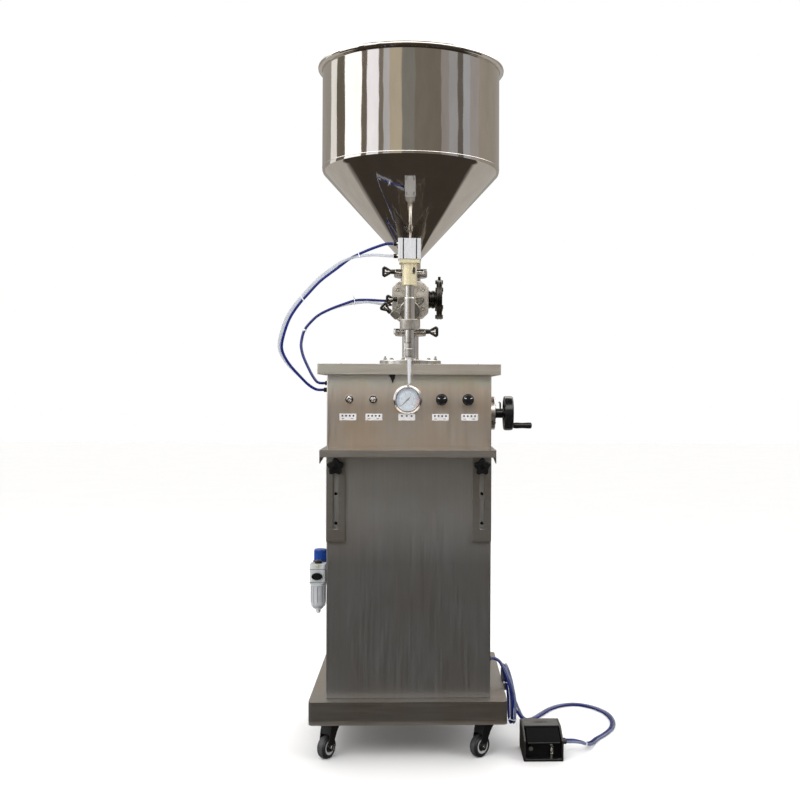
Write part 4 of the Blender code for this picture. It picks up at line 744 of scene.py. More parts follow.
def make_casters():
    trail, wheel_r, inner = 0.018, 0.025, 0.0112
    cheek = mm((-16, 75.7), (16.5, 75.7), (21.5, 60), (25.8, 36), (26.2, 25), (24, 17.8), (18, 16),
        (12, 17.8), (9.6, 24), (8, 34), (-2, 54), (-16, 70))
    for name, x, y, heading in CASTERS:
        to_place = Matrix.Translation((x, y, 0)) @ Matrix.Rotation(math.radians(heading), 4, "Z")
        fork = Piece("caster_frame_" + name)
        fork.add(lathe(mm((0, 73.5), (19, 73.5), (20.8, 75.2), (21.2, 79), (20.5, 80), (20.5, 81.2),
            (21.3, 82), (21.3, 84.8), (0, 84.8)), segments=48), BLACK_PAINT, to_place)
        crown = mm((-16.5, 75.7), (16.8, 75.7), (20, 64), (23.5, 53), (18, 52.2), (2, 53.5), (-8.5, 60),
            (-16, 69))
        fork.add(prism(crown, -inner - 0.001, inner + 0.001, "Y", 0.002), BLACK_PAINT, to_place)
        for side in (-1, 1):
            y0, y1 = sorted((side * inner, side * (inner + 0.0028)))
            fork.add(prism(cheek, y0, y1, "Y", 0.0007), BLACK_PAINT, to_place)
            head = side * (inner + 0.0028)
            fork.add(hexagon((trail, head, wheel_r), (trail, head + side * 0.0022, wheel_r), 0.0095),
                BOLT_STEEL, to_place)
        fork.done("caster_fork_" + name, "black_paint", ("caster_fork_" + name,))

        half = 0.01
        wheel = Piece("caster_tyre_" + name)
        centre = (trail, 0, wheel_r)
        for side in (-1, 1):
            wheel.add(lathe([(0.0165, 0), (0.0165, side * (half - 0.0008)), (0.0195, side * half),
                (0.0215, side * half), (0.0235, side * (half - 0.002)), (0.0246, side * (half - 0.004)),
                (0.0246, 0)], centre, "Y", 64), TYRE, to_place)
            wheel.add(lathe([(0.011, 0), (0.011, side * (half - 0.0025)),
                (0.0135, side * (half - 0.0008)), (0.0165, side * (half - 0.0006)),
                (0.0166, side * (half - 0.003)), (0.0166, 0)], centre, "Y", 64), RIM_GREY, to_place)
            wheel.add(lathe([(0.0044, 0), (0.0044, side * half), (0.0075, side * half),
                (0.0085, side * (half - 0.0022)), (0.0112, side * (half - 0.003)), (0.0112, 0)], centre,
                "Y", 48), BLACK_PLASTIC, to_place)
        wheel.add(lathe(mm((24, -5.2), (24.9, -4.8), (25, 0), (24.9, 4.8), (24, 5.2)), centre, "Y", 64),
            TREAD, to_place)
        wheel.done("caster_wheel_" + name, "black_rubber", ("caster_wheel_" + name,))


def make_shelf_knobs():
    face = high_corner("bottle_shelf").y - 0.0092
    for name, side in (("left", -1), ("right", 1)):
        x, z = side * 0.1595, 0.6455
        rim = []
        for k in range(60):
            turn = math.tau * k / 60
            reach = 0.0168 + 0.0026 * math.cos(5 * turn)
            rim.append((x - reach * math.sin(turn), z + reach * math.cos(turn)))
        knob = Piece("star_knob_" + name)
        knob.add(prism(rim, face - 0.0198, face - 0.0062, "Y", 0.0036), BLACK_PLASTIC)
        knob.add(lathe(mm((0, -0.2), (9.8, -0.2), (9, -7), (0, -7)), (x, face, z), "Y", 40),
            BLACK_PLASTIC)
        knob.add(lathe(mm((0, -19), (6.2, -19), (5.6, -20), (0, -20)), (x, face, z), "Y", 32), DARK_STEEL)
        knob.add(bar((x, face - 0.004, z), (x, 0.0138, z), 0.003, 16), BOLT_STEEL)
        knob.done("shelf_knob_" + name, "black_plastic", ("shelf_knob_" + name,))


# ---------------------------------------------------------------- front panel
def make_panel():
    for name, x, tilt in (("left", TOGGLE_XS[0], 18.0), ("right", TOGGLE_XS[1], 0.0)):
        pivot = Vector((x, -0.003, PANEL_Z))
        swing = Matrix.Translation(pivot) @ Matrix.Rotation(math.radians(-tilt), 4, "X")
        lever = Piece("toggle_bat_" + name)
        lever.add(lathe(mm((0, 8), (2, 8), (2.2, 2), (4, 0.8), (4, -1.2), (1.6, -4), (2.4, -14),
            (2.5, -15.5), (1.6, -16.9), (0, -17)), axis="Y", segments=28), CHROME, swing)
        lever.done("toggle_lever_" + name, "chromed_metal", ("toggle_lever_" + name,))
    mounts = Piece("toggle_bushings")
    for x in TOGGLE_XS:
        mounts.add(hexagon((x, -0.0003, PANEL_Z), (x, -0.0028, PANEL_Z), 0.017), CHROME)
        mounts.add(lathe(mm((5.6, 6), (5.6, -7.5), (4.4, -8.5), (4.4, 6)), (x, 0, PANEL_Z), "Y", 32,
            0.0003), CHROME)
        mounts.add(lathe(mm((5.6, -2.8), (7.8, -2.8), (8.2, -4.2), (7.8, -5), (5.6, -5)), (x, 0, PANEL_Z),
            "Y", 32, 0.0003), DARK_STEEL)
    mounts.done("machine", "chromed_metal")

    for name, x in zip(("left", "right"), SPEED_KNOB_XS):
        knob = Piece("speed_dial_" + name)
        knob.add(prism(polygon(72, 0.0108, (x, PANEL_Z), 0.0004), -0.0175, -0.003, "Y", 0.0), BLACK_PLASTIC)
        knob.add(lathe(mm((0, -0.6), (11.6, -0.8), (11.6, -3.2), (0, -3.4)), (x, 0, PANEL_Z), "Y", 48),
            BLACK_PLASTIC)
        knob.add(lathe(mm((0, -17), (10.9, -17.2), (9.8, -19.4), (4, -20), (0, -20)), (x, 0, PANEL_Z),
            "Y", 48), BLACK_PLASTIC)
        knob.add(bar((x, 0.014, PANEL_Z), (x, -0.001, PANEL_Z), 0.003, 16), BOLT_STEEL)
        for angle in (155.0, 25.0):
            turn = around("Y", (x, 0, PANEL_Z), math.radians(-angle))
            knob.add(block((x + 0.005, -0.01995, PANEL_Z - 0.0005), (x + 0.01, -0.0188, PANEL_Z + 0.0005),
                0.0), TIE_WHITE, turn)
        knob.done("speed_knob_" + name, "black_plastic", ("speed_knob_" + name,))
    nuts = Piece("speed_knob_collars")
    for x in SPEED_KNOB_XS:
        nuts.add(lathe(mm((3.4, 0), (3.4, -0.5), (12.2, -0.5), (12.8, 0)), (x, 0, PANEL_Z), "Y", 40, 0),
            DARK_STEEL)
    nuts.done("machine", "black_plastic")

    labels = Piece("label_plates")
    z = 0.7525
    for x, marks in ((-0.134, 4), (-0.0773, 4), (-0.0055, 3), (0.068, 4), (0.132, 4)):
        labels.add(block((x - 0.0183, -0.00016, z - 0.0073), (x + 0.0183, 0.0003, z + 0.0073), 0.0),
            LABEL_WHITE)
        pitch = 0.008 if marks == 4 else 0.0105
        for k in range(marks):
            at = x + (k - (marks - 1) / 2) * pitch
            labels.add(block((at - 0.0018, -0.00022, z + 0.0006), (at + 0.0018, -0.0001, z + 0.0044), 0),
                INK)
        for at in (x - 0.0105, x + 0.009) if marks == 4 else ():
            labels.add(block((at - 0.0028, -0.00022, z - 0.0046), (at + 0.0028, -0.0001, z - 0.0032), 0),
                INK)
    labels.done("machine", "clear_tube")

    mark = Piece("cover_clip")
    mark.add(prism(mm((-45, 845.2), (-30.5, 845.2), (-32, 838), (-37, 826), (-39.2, 833)), -0.0045,
        -0.0002, "Y", 0.0004), BLACK_PLASTIC)
    mark.done("machine", "black_plastic")


DIGIT_STROKES = {
    "0": ((0, 0, 0, 2), (0, 2, 1, 2), (1, 2, 1, 0), (1, 0, 0, 0)),
    "1": ((0.5, 0, 0.5, 2),),
    "2": ((0, 2, 1, 2), (1, 2, 1, 1), (1, 1, 0, 1), (0, 1, 0, 0), (0, 0, 1, 0)),
    "4": ((0, 2, 0, 1), (0, 1, 1, 1), (1, 2, 1, 0)),
    "6": ((1, 2, 0, 2), (0, 2, 0, 0), (0, 0, 1, 0), (1, 0, 1, 1), (1, 1, 0, 1)),
    "8": ((0, 0, 0, 2), (0, 2, 1, 2), (1, 2, 1, 0), (1, 0, 0, 0), (0, 1, 1, 1)),
}


def dial_number(piece, text, x, z, height, depth):
    """Figures on the dial, drawn with short bars."""
    unit = height / 2
    left = x - (len(text) * 1.5 - 0.5) * unit / 2
    for n, figure in enumerate(text):
        for u0, v0, u1, v1 in DIGIT_STROKES[figure]:
            ox, oz = left + n * 1.5 * unit, z - unit
            t = 0.00016
            low = (ox + min(u0, u1) * unit - t, depth - 0.00012, oz + min(v0, v1) * unit - t)
            high = (ox + max(u0, u1) * unit + t, depth, oz + max(v0, v1) * unit + t)
            piece.add(block(low, high, 0), INK)


def make_gauge():
    centre = (GAUGE_X, 0, PANEL_Z)
    case = Piece("gauge_housing")
    case.add(lathe(mm((0, 30), (24.6, 30), (24.9, 2), (24.9, -0.4), (31.8, -0.4), (32, -2), (30.5, -4.5),
        (28.8, -5), (28.4, -8.8), (27.4, -10.4), (24.6, -10.4), (23.8, -8.5), (23.6, -5), (0, -5)),
        centre, "Y", 96), CHROME)
    for angle in (90, 210, 330):
        a = math.radians(angle)
        x, z = GAUGE_X + 0.0302 * math.cos(a), PANEL_Z + 0.0302 * math.sin(a)
        case.add(lathe(mm((0, -4), (1.9, -4.2), (1.7, -5.6), (0, -6)), (x, 0, z), "Y", 20, 0.0002),
            BOLT_STEEL)
    case.done("machine", "chromed_metal", ("gauge_case",))

    dial = Piece("gauge_dial")
    face = -0.0052
    dial.add(lathe([(0, face + 0.0004), (0.0235, face + 0.0004), (0.0235, face), (0, face)], centre, "Y",
        96, 0), DIAL_WHITE)
    sweep_start, sweep_range = 225.0, 270.0
    for k in range(51):
        a = math.radians(sweep_start - sweep_range * k / 50)
        long = k % 10 == 0
        inner, outer = (0.0165 if long else 0.0182), 0.0202
        turn = around("Y", centre, -a)
        wide = 0.0004 if long else 0.0002
        dial.add(block((GAUGE_X + inner, face - 0.00014, PANEL_Z - wide),
            (GAUGE_X + outer, face, PANEL_Z + wide), 0), INK, turn)
        if k < 50:
            step = math.radians(sweep_range / 50)
            band = [(r * math.cos(a - s) + GAUGE_X, r * math.sin(a - s) + PANEL_Z) for r,
                s in ((0.0208, 0), (0.0222, 0), (0.0222, step), (0.0208, step))]
            dial.add(prism(band, face - 0.0001, face, "Y", 0), DIAL_RED if k >= 40 else DIAL_BLUE)
    for k, text in enumerate(("0", "2", "4", "6", "8", "10")):
        a = math.radians(sweep_start - sweep_range * k / 5)
        dial_number(dial, text, GAUGE_X + 0.0132 * math.cos(a), PANEL_Z + 0.0132 * math.sin(a), 0.003, face)
    dial.done("machine", "chromed_metal")

    needle = Piece("gauge_pointer")
    turn = around("Y", centre, -math.radians(225))
    needle.add(prism(mm((-6.8, 0.9), (0, 1.5), (20.3, 0.25), (20.3, -0.25), (0, -1.5), (-6.8, -0.9)),
        -0.0063, -0.0057, "Y", 0.0), INK, turn @ Matrix.Translation(centre))
    needle.add(lathe(mm((0, -5.6), (2.4, -5.6), (2.2, -6.8), (0, -7)), centre, "Y", 24, 0.0002), INK)
    needle.done("gauge_needle", "black_plastic", ("gauge_needle",))

    lens = Piece("gauge_lens")
    lens.add(lathe(mm((0, -8.2), (23.6, -8.2), (23.6, -9.2), (0, -9.6)), centre, "Y", 96, 0.0002),
        LENS_CLEAR)
    lens.done("machine", "chromed_metal")


# ---------------------------------------------------------------- stroke setting
def make_handwheel():
    axis = (0, WHEEL_Y, WHEEL_Z)
    bearing = Piece("handwheel_flange")
    bearing.add(lathe([(0.0065, SIDE + 0.0003), (0.0375, SIDE + 0.0003), (0.0375, 0.1908),
        (0.0362, 0.1924), (0.02, 0.1924), (0.019, 0.191), (0.014, 0.191), (0.0135, 0.1924),
        (0.0065, 0.1924)], axis, "X", 80), FLANGE_STEEL)
    bearing.add(lathe(mm((6.5, 191.5), (12, 191.5), (12, 195), (10.8, 196), (10.8, 211), (6.5, 211)),
        axis, "X", 48), BLACK_PLASTIC)
    for angle in (45, 135, 225, 315):
        a = math.radians(angle)
        at = (0.1922, WHEEL_Y + 0.028 * math.cos(a), WHEEL_Z + 0.028 * math.sin(a))
        bearing.add(bar(at, (0.1938, at[1], at[2]), 0.0034, 20), BOLT_STEEL)
    lever = [(0.205, WHEEL_Y, WHEEL_Z + 0.009), (0.205, WHEEL_Y, WHEEL_Z + 0.0175),
        (0.2046, WHEEL_Y - 0.002, WHEEL_Z + 0.0215), (0.2036, WHEEL_Y - 0.006, WHEEL_Z + 0.0238),
        (0.202, WHEEL_Y - 0.0095, WHEEL_Z + 0.0245)]
    bearing.add(sweep(smooth_route(lever, 0.002), 0.0021), BOLT_STEEL)
    bearing.done("machine", "cast_stainless", ("handwheel_bearing",))

    wheel = Piece("handwheel_rim")
    wheel.add(lathe(mm((0, 93.8), (7.4, 93.8), (15.4, 101.2), (15.4, 106), (6, 106), (6, 211.6),
        (0, 211.6)), axis, "X", 32), BOLT_STEEL)
    wheel.add(lathe(mm((0, 211.8), (10.4, 211.8), (10.4, 219), (29, 217.5), (32.5, 213.2), (35, 212.2),
        (37.8, 213), (39, 216.5), (39, 225), (38.4, 231), (36.6, 233.2), (33.5, 233.4), (30.5, 231.8),
        (28.5, 227.5), (13, 229), (12, 231.2), (0, 231.2)), axis, "X", 96, 0.0012), BLACK_PLASTIC)
    wheel.add(lathe(mm((0, 230.8), (6.2, 230.8), (5.8, 231.8), (0, 232.2)), axis, "X", 40), BOLT_STEEL)
    crank = WHEEL_Z - CRANK_R
    wheel.add(lathe(mm((0, 220), (7.8, 220), (6.6, 233.2), (0, 233.6)), (0, WHEEL_Y, crank), "X", 32),
        BLACK_PLASTIC)
    wheel.add(bar((0.23, WHEEL_Y, crank), (0.275, WHEEL_Y, crank), 0.0029, 16), BOLT_STEEL)
    wheel.done("handwheel", "black_plastic", ("handwheel",))

    grip = Piece("handwheel_handle")
    grip.add(lathe(mm((3.4, 234.2), (5.8, 234.2), (6.5, 236), (7.1, 242), (6.6, 250), (6.4, 256),
        (6.7, 263), (7.2, 270), (6.7, 275.5), (4, 276.8), (0, 277), (0, 275.8), (3.4, 275.8)),
        (0, WHEEL_Y, crank), "X", 40, 0.001), BLACK_PLASTIC)
    grip.done("handwheel_grip", "black_plastic", ("handwheel_grip",))

    screw = Piece("stroke_thread")
    x, low = 0.085, 0.4202
    screw.add(lathe([(0, WHEEL_Z - 0.008), (0.0074, WHEEL_Z - 0.008), (0.0154, WHEEL_Z - 0.016),
        (0.0154, WHEEL_Z - 0.0208), (0.005, WHEEL_Z - 0.0208), (0.005, WHEEL_Z - 0.03),
        (0, WHEEL_Z - 0.03)], (x, WHEEL_Y, 0), "Z", 32), BOLT_STEEL)
    turns, pitch = 160, 0.0019
    thread = [(0, low)]
    for k in range(turns):
        thread += [(0.0043, low + k * pitch), (0.0049, low + (k + 0.5) * pitch)]
    thread += [(0.0043, low + turns * pitch), (0, low + turns * pitch)]
    screw.add(lathe(thread, (x, WHEEL_Y, 0), "Z", 16, 0), BOLT_STEEL)
    screw.done("stroke_screw", "turned_stainless", ("stroke_screw",))


# ---------------------------------------------------------------- product side
def make_hopper():
    neck, wall, radius = HOPPER_TUBE, 0.002, 0.204
    knee, neck_top = 1.312, 1.114
    bead_r, bead_z = 0.0058, HOPPER_RIM - 0.006
    bead_c = radius + 0.004
    bead = [(bead_c + bead_r * math.cos(math.radians(a)), bead_z + bead_r * math.sin(math.radians(a)))
        for a in range(-140, 150, 24)]
    knee_curve = [(radius - 0.006, knee - 0.0066), (radius - 0.0022, knee - 0.0022),
        (radius - 0.0003, knee + 0.003), (radius, knee + 0.008)]
    outline = [*ferrule(neck - wall, HOPPER_FLANGE, neck, UPPER_JOINT + HALF_GAP, 1),
        (neck, neck_top - 0.002), (neck + 0.0018, neck_top + 0.002), *knee_curve, *bead,
        (radius - wall, bead_z + 0.003), (radius - wall, knee + 0.0008), (neck - wall, neck_top + 0.0008)]
    hopper = Piece("hopper_bowl")
    hopper.add(lathe(outline, COLUMN, "Z", 160, 0), HOPPER_STEEL)
    hopper.add(lathe([(radius + 0.0001, knee + 0.0085), (radius + 0.0004, knee + 0.0092),
        (radius + 0.0001, knee + 0.01)], COLUMN, "Z", 120, 0), TUBE_STEEL)
    hopper.done("machine", "polished_stainless", ("hopper",), 24)


def stud(piece, foot, size, height):
    """An upright stud with its washer and hex nut."""
    foot, up = Vector(foot), Vector((0, 0, 1))
    piece.add(bar(foot, foot + up * 0.0012, size * 0.95, 24), BOLT_STEEL)
    piece.add(hexagon(foot + up * 0.0012, foot + up * (0.0012 + size * 0.75), size * 1.55), BOLT_STEEL)
    piece.add(bar(foot, foot + up * height, size * 0.48, 16), BOLT_STEEL)


def make_column():
    cylinder = Piece("cylinder_tube")
    cylinder.add(lathe([*ferrule(MAIN_BORE, CYLINDER_FLANGE, CYLINDER_TUBE, LOWER_JOINT - HALF_GAP, -1),
        (CYLINDER_TUBE, 0.8835), (0.0215, 0.8802), (0.0215, 0.88), (MAIN_BORE, 0.88)], COLUMN, "Z", 96),
        TUBE_STEEL)
    cylinder.add(lathe([(MAIN_BORE, 0.88), (0.07, 0.88), (0.071, 0.879), (0.071, COVER_TOP + 0.0003),
        (0.038, COVER_TOP + 0.0003), (0.038, 0.6), (0.048, 0.6), (0.048, 0.592), (0.035, 0.592),
        (0.035, 0.872), (MAIN_BORE, 0.876)], COLUMN, "Z", 96), FLANGE_STEEL)
    cylinder.done("machine", "turned_stainless", ("product_cylinder",))

    fasteners = Piece("table_flange_bolts")
    for k in range(12):
        a = math.radians(-90 + 15 + 30 * k)
        at = (0.06 * math.cos(a), COLUMN_Y + 0.06 * math.sin(a), 0.88)
        tall = k in (2, 9)
        stud(fasteners, at, 0.0046, 0.0098 if tall else 0.0052)
    fasteners.done("machine", "polished_stainless")
    skin("air_barrel", "air_cylinder", 0.0003, ALUMINIUM, "anodised_aluminium")
    skin("piston_and_rod", "piston", 0.0002, TUBE_STEEL, "turned_stainless", "piston")


def make_valve():
    half, c = 0.0415, 0.014
    low, high = 0.979, 1.06
    octagon = [(-half, low + c), (-half + c, low), (half - c, low), (half, low + c), (half, high - c),
        (half - c, high), (-half + c, high), (-half, high - c)]
    valve = Piece("valve_block")
    valve.add(prism(octagon, COLUMN_Y - half, COLUMN_Y + half, "Y", 0.0028), VALVE_STEEL)
    valve.add(lathe([*ferrule(MAIN_BORE, CYLINDER_FLANGE, CYLINDER_TUBE, LOWER_JOINT + HALF_GAP, 1),
        (CYLINDER_TUBE, 0.9545), (0.0225, 0.956), (0.0225, 0.98), (MAIN_BORE, 0.98)], COLUMN, "Z", 80),
        FLANGE_STEEL)
    valve.add(lathe([*ferrule(MAIN_BORE, HOPPER_FLANGE, HOPPER_TUBE, UPPER_JOINT - HALF_GAP, -1),
        (HOPPER_TUBE, high - 0.001), (MAIN_BORE, high - 0.001)], COLUMN, "Z", 80), TUBE_STEEL)
    valve.add(lathe([*ferrule(0.0085, OUTLET_FLANGE, OUTLET_TUBE, REAR_JOINT + HALF_GAP, 1),
        (OUTLET_TUBE, 0.1), (0.015, 0.103), (0.0085, 0.103)], OUTLET, "Y", 48), TUBE_STEEL)
    front = COLUMN_Y - half
    for x in (-0.029, 0.029):
        for z in (low + 0.019, high - 0.019):
            valve.add(lathe(mm((0, 0), (4.2, 0), (3.8, -3.4), (2.2, -3.4), (2, -1.5), (0, -1.5)),
                (x, front, z), "Y", 24), BOLT_STEEL)
    for z in (1.0185, 1.0105):
        valve.add(bar((-half + 0.002, COLUMN_Y, z), (-half - 0.0035, COLUMN_Y, z), 0.0048, 24), BOLT_STEEL)
        valve.add(bar((-half - 0.003, COLUMN_Y, z), (-half - 0.0098, COLUMN_Y, z), 0.0044, 24),
            BLACK_PLASTIC)
    valve.done("machine", "turned_stainless", ("valve_body",))

    cap_face = half + 0.0003
    cap = Piece("valve_cover")
    cap.add(lathe([(0.0066, cap_face), (0.0205, cap_face), (0.021, 0.044), (0.0194, 0.0455),
        (0.0194, 0.0485), (0.021, 0.05), (0.021, 0.054), (0.0194, 0.0552), (0.0194, 0.0575),
        (0.021, 0.059), (0.021, 0.0604), (0.0066, 0.0604)], (0, COLUMN_Y, VALVE_MID), "X", 64),
        DARK_STEEL)
    cap.add(lathe(mm((0, 60.3), (45.2, 60.3), (46, 61.2), (46, 65), (44.8, 65.8), (44.8, 67.2), (46, 68),
        (46, 71.6), (44.8, 72.9), (30, 72.9), (29, 71.6), (0, 71.6)), (0, COLUMN_Y, VALVE_MID), "X", 96),
        DARK_STEEL)
    cap.add(bar((0.0666, COLUMN_Y, VALVE_MID + 0.043), (0.0666, COLUMN_Y, VALVE_MID + 0.0528), 0.0032,
        20), DARK_STEEL)
    for k in range(6):
        a = math.radians(90 + 60 * k)
        y, z = COLUMN_Y + 0.04 * math.cos(a), VALVE_MID + 0.04 * math.sin(a)
        cap.add(hexagon((0.0716, y, z), (0.0752, y, z), 0.0092), DARK_STEEL)
        cap.add(hexagon((0.0604, y, z), (0.0572, y, z), 0.0088), DARK_STEEL)
    cap.done("machine", "cast_stainless", ("valve_end_cap",))

    skin("valve_plunger", "valve_spool", 0.0002, TUBE_STEEL, "turned_stainless", "valve_spool")


def loop_outline(length, width):
    """Rounded triangle of a wing nut's loop: its point at 0, its flat side at length."""
    corners = [Vector(c) for c in ((0.0, -0.1), (0.0, 0.1), (0.86, 1.0), (1.0, 0.8), (1.0, -0.8),
        (0.86, -1.0))]
    points = []
    for k, corner in enumerate(corners):
        following = corners[(k + 1) % len(corners)]
        steps = max(1, round((following - corner).length * 6))
        points += [corner.lerp(following, n / steps) for n in range(steps)]
    return [(p.x * length, p.y * width) for p in points]


def make_clamp(name, ring, tube, rim, size, place, nut_turned=False):
    """A hinged ferrule clamp: two half rings, hinge links, swing bolt and its loop-winged nut."""
    lip, groove = tube + 0.0008, rim + 0.0004
    width = 0.008 * max(size, 0.9)
    section = [(lip, -width), (ring - 0.0012, -width), (ring, -width + 0.0022), (ring, width - 0.0022),
        (ring - 0.0012, width), (lip, width), (lip, 0.0059), (groove, 0.0026), (groove, -0.0026),
        (lip, -0.0059)]
    off = -(ring + 0.0085 * size)
    inner = -(ring - 0.0025)
    half = 0.0065 * size
    depth = off - 0.0065 * size
    clamp = Piece(name + "_halves")
    clamp.add(lathe(section, segments=96, ease=0.001), CLAMP_STEEL, place)
    lug = half * 0.36
    for z0, z1 in ((-half, -half + lug), (half - lug, half)):
        clamp.add(prism([(-0.0378 * size, off + 0.003 * size), (-0.035 * size, depth + 0.001),
            (-0.03 * size, depth), (-0.0135 * size, depth + 0.002), (-0.012 * size, inner),
            (-0.03 * size, inner + 0.001)], z0, z1, "Z", 0.0009), CLAMP_STEEL, place)
    clamp.add(bar((-0.0325 * size, off, -half * 1.05), (-0.0325 * size, off, half * 1.05), 0.0024 * size,
        20), BOLT_STEEL, place)
    clamp.add(lathe([(0, -half * 0.5), (0.0052 * size, -half * 0.5), (0.0052 * size, half * 0.5),
        (0, half * 0.5)], (-0.0325 * size, off, 0), "Z", 24), BOLT_STEEL, place)
    for z0, z1 in ((-half * 0.9, -half * 0.25), (half * 0.25, half * 0.9)):
        clamp.add(prism([(0.01 * size, inner), (0.0115 * size, depth + 0.0015), (0.016 * size, depth),
            (0.032 * size, depth + 0.0008), (0.034 * size, off), (0.032 * size, inner)], z0, z1, "Z",
            0.001), CLAMP_STEEL, place)
    back = ring + 0.0018
    for x in (-0.0055 * size, 0.0055 * size):
        clamp.add(bar((x, back, -width * 0.88), (x, back, width * 0.88), 0.0022 * size, 16), BOLT_STEEL,
            place)
    for z0, z1 in ((-width * 0.8, -width * 0.45), (width * 0.45, width * 0.8)):
        clamp.add(block((-0.009 * size, ring - 0.003, z0), (0.009 * size, back + 0.0022 * size, z1),
            0.0006), CLAMP_STEEL, place)
    clamp.add(bar((-0.033 * size, off, 0), (0.0578 * size, off, 0), 0.0029, 20), BOLT_STEEL, place)
    clamp.done("machine", "cast_stainless", (name,))

    start = 0.0345 * size
    nut = Piece(name + "_winged_nut")
    nut.add(lathe([(0.0034, start), (0.0056, start + 0.0004), (0.0053, start + 0.008 * size),
        (0.0042, start + 0.011 * size), (0.0034, start + 0.011 * size)], (0, off, 0), "X", 32),
        DARK_STEEL, place)
    reach = start + 0.0095 * size
    outline = loop_outline(0.0172 * size, 0.0096 * size)
    loop = [(reach + u, off + v, 0) if nut_turned else (reach + u, off, v) for u, v in outline]
    nut.add(sweep(loop, 0.0033 * max(size, 0.9), True, 12), DARK_STEEL, place)
    nut.done(name + "_wing_nut", "cast_stainless", (name + "_wing_nut",))


def make_clamps():
    make_clamp("hopper_clamp", 0.0385, HOPPER_TUBE, HOPPER_FLANGE, 1.0,
        Matrix.Translation((0, COLUMN_Y, UPPER_JOINT)) @ Matrix.Rotation(math.pi, 4, "Y"))
    make_clamp("cylinder_clamp", 0.036, CYLINDER_TUBE, CYLINDER_FLANGE, 1.0,
        Matrix.Translation((0, COLUMN_Y, LOWER_JOINT)))
    for name, y, about, tip in (("outlet_clamp_rear", REAR_JOINT, 180.0, 90.0),
                                ("outlet_clamp_front", FRONT_JOINT, 221.4, -90.0)):
        place = (Matrix.Translation((0, y, OUTLET_Z)) @ Matrix.Rotation(math.radians(about), 4, "Y")
            @ Matrix.Rotation(math.radians(tip), 4, "X"))
        make_clamp(name, 0.023, OUTLET_TUBE, OUTLET_FLANGE, 0.85, place, True)


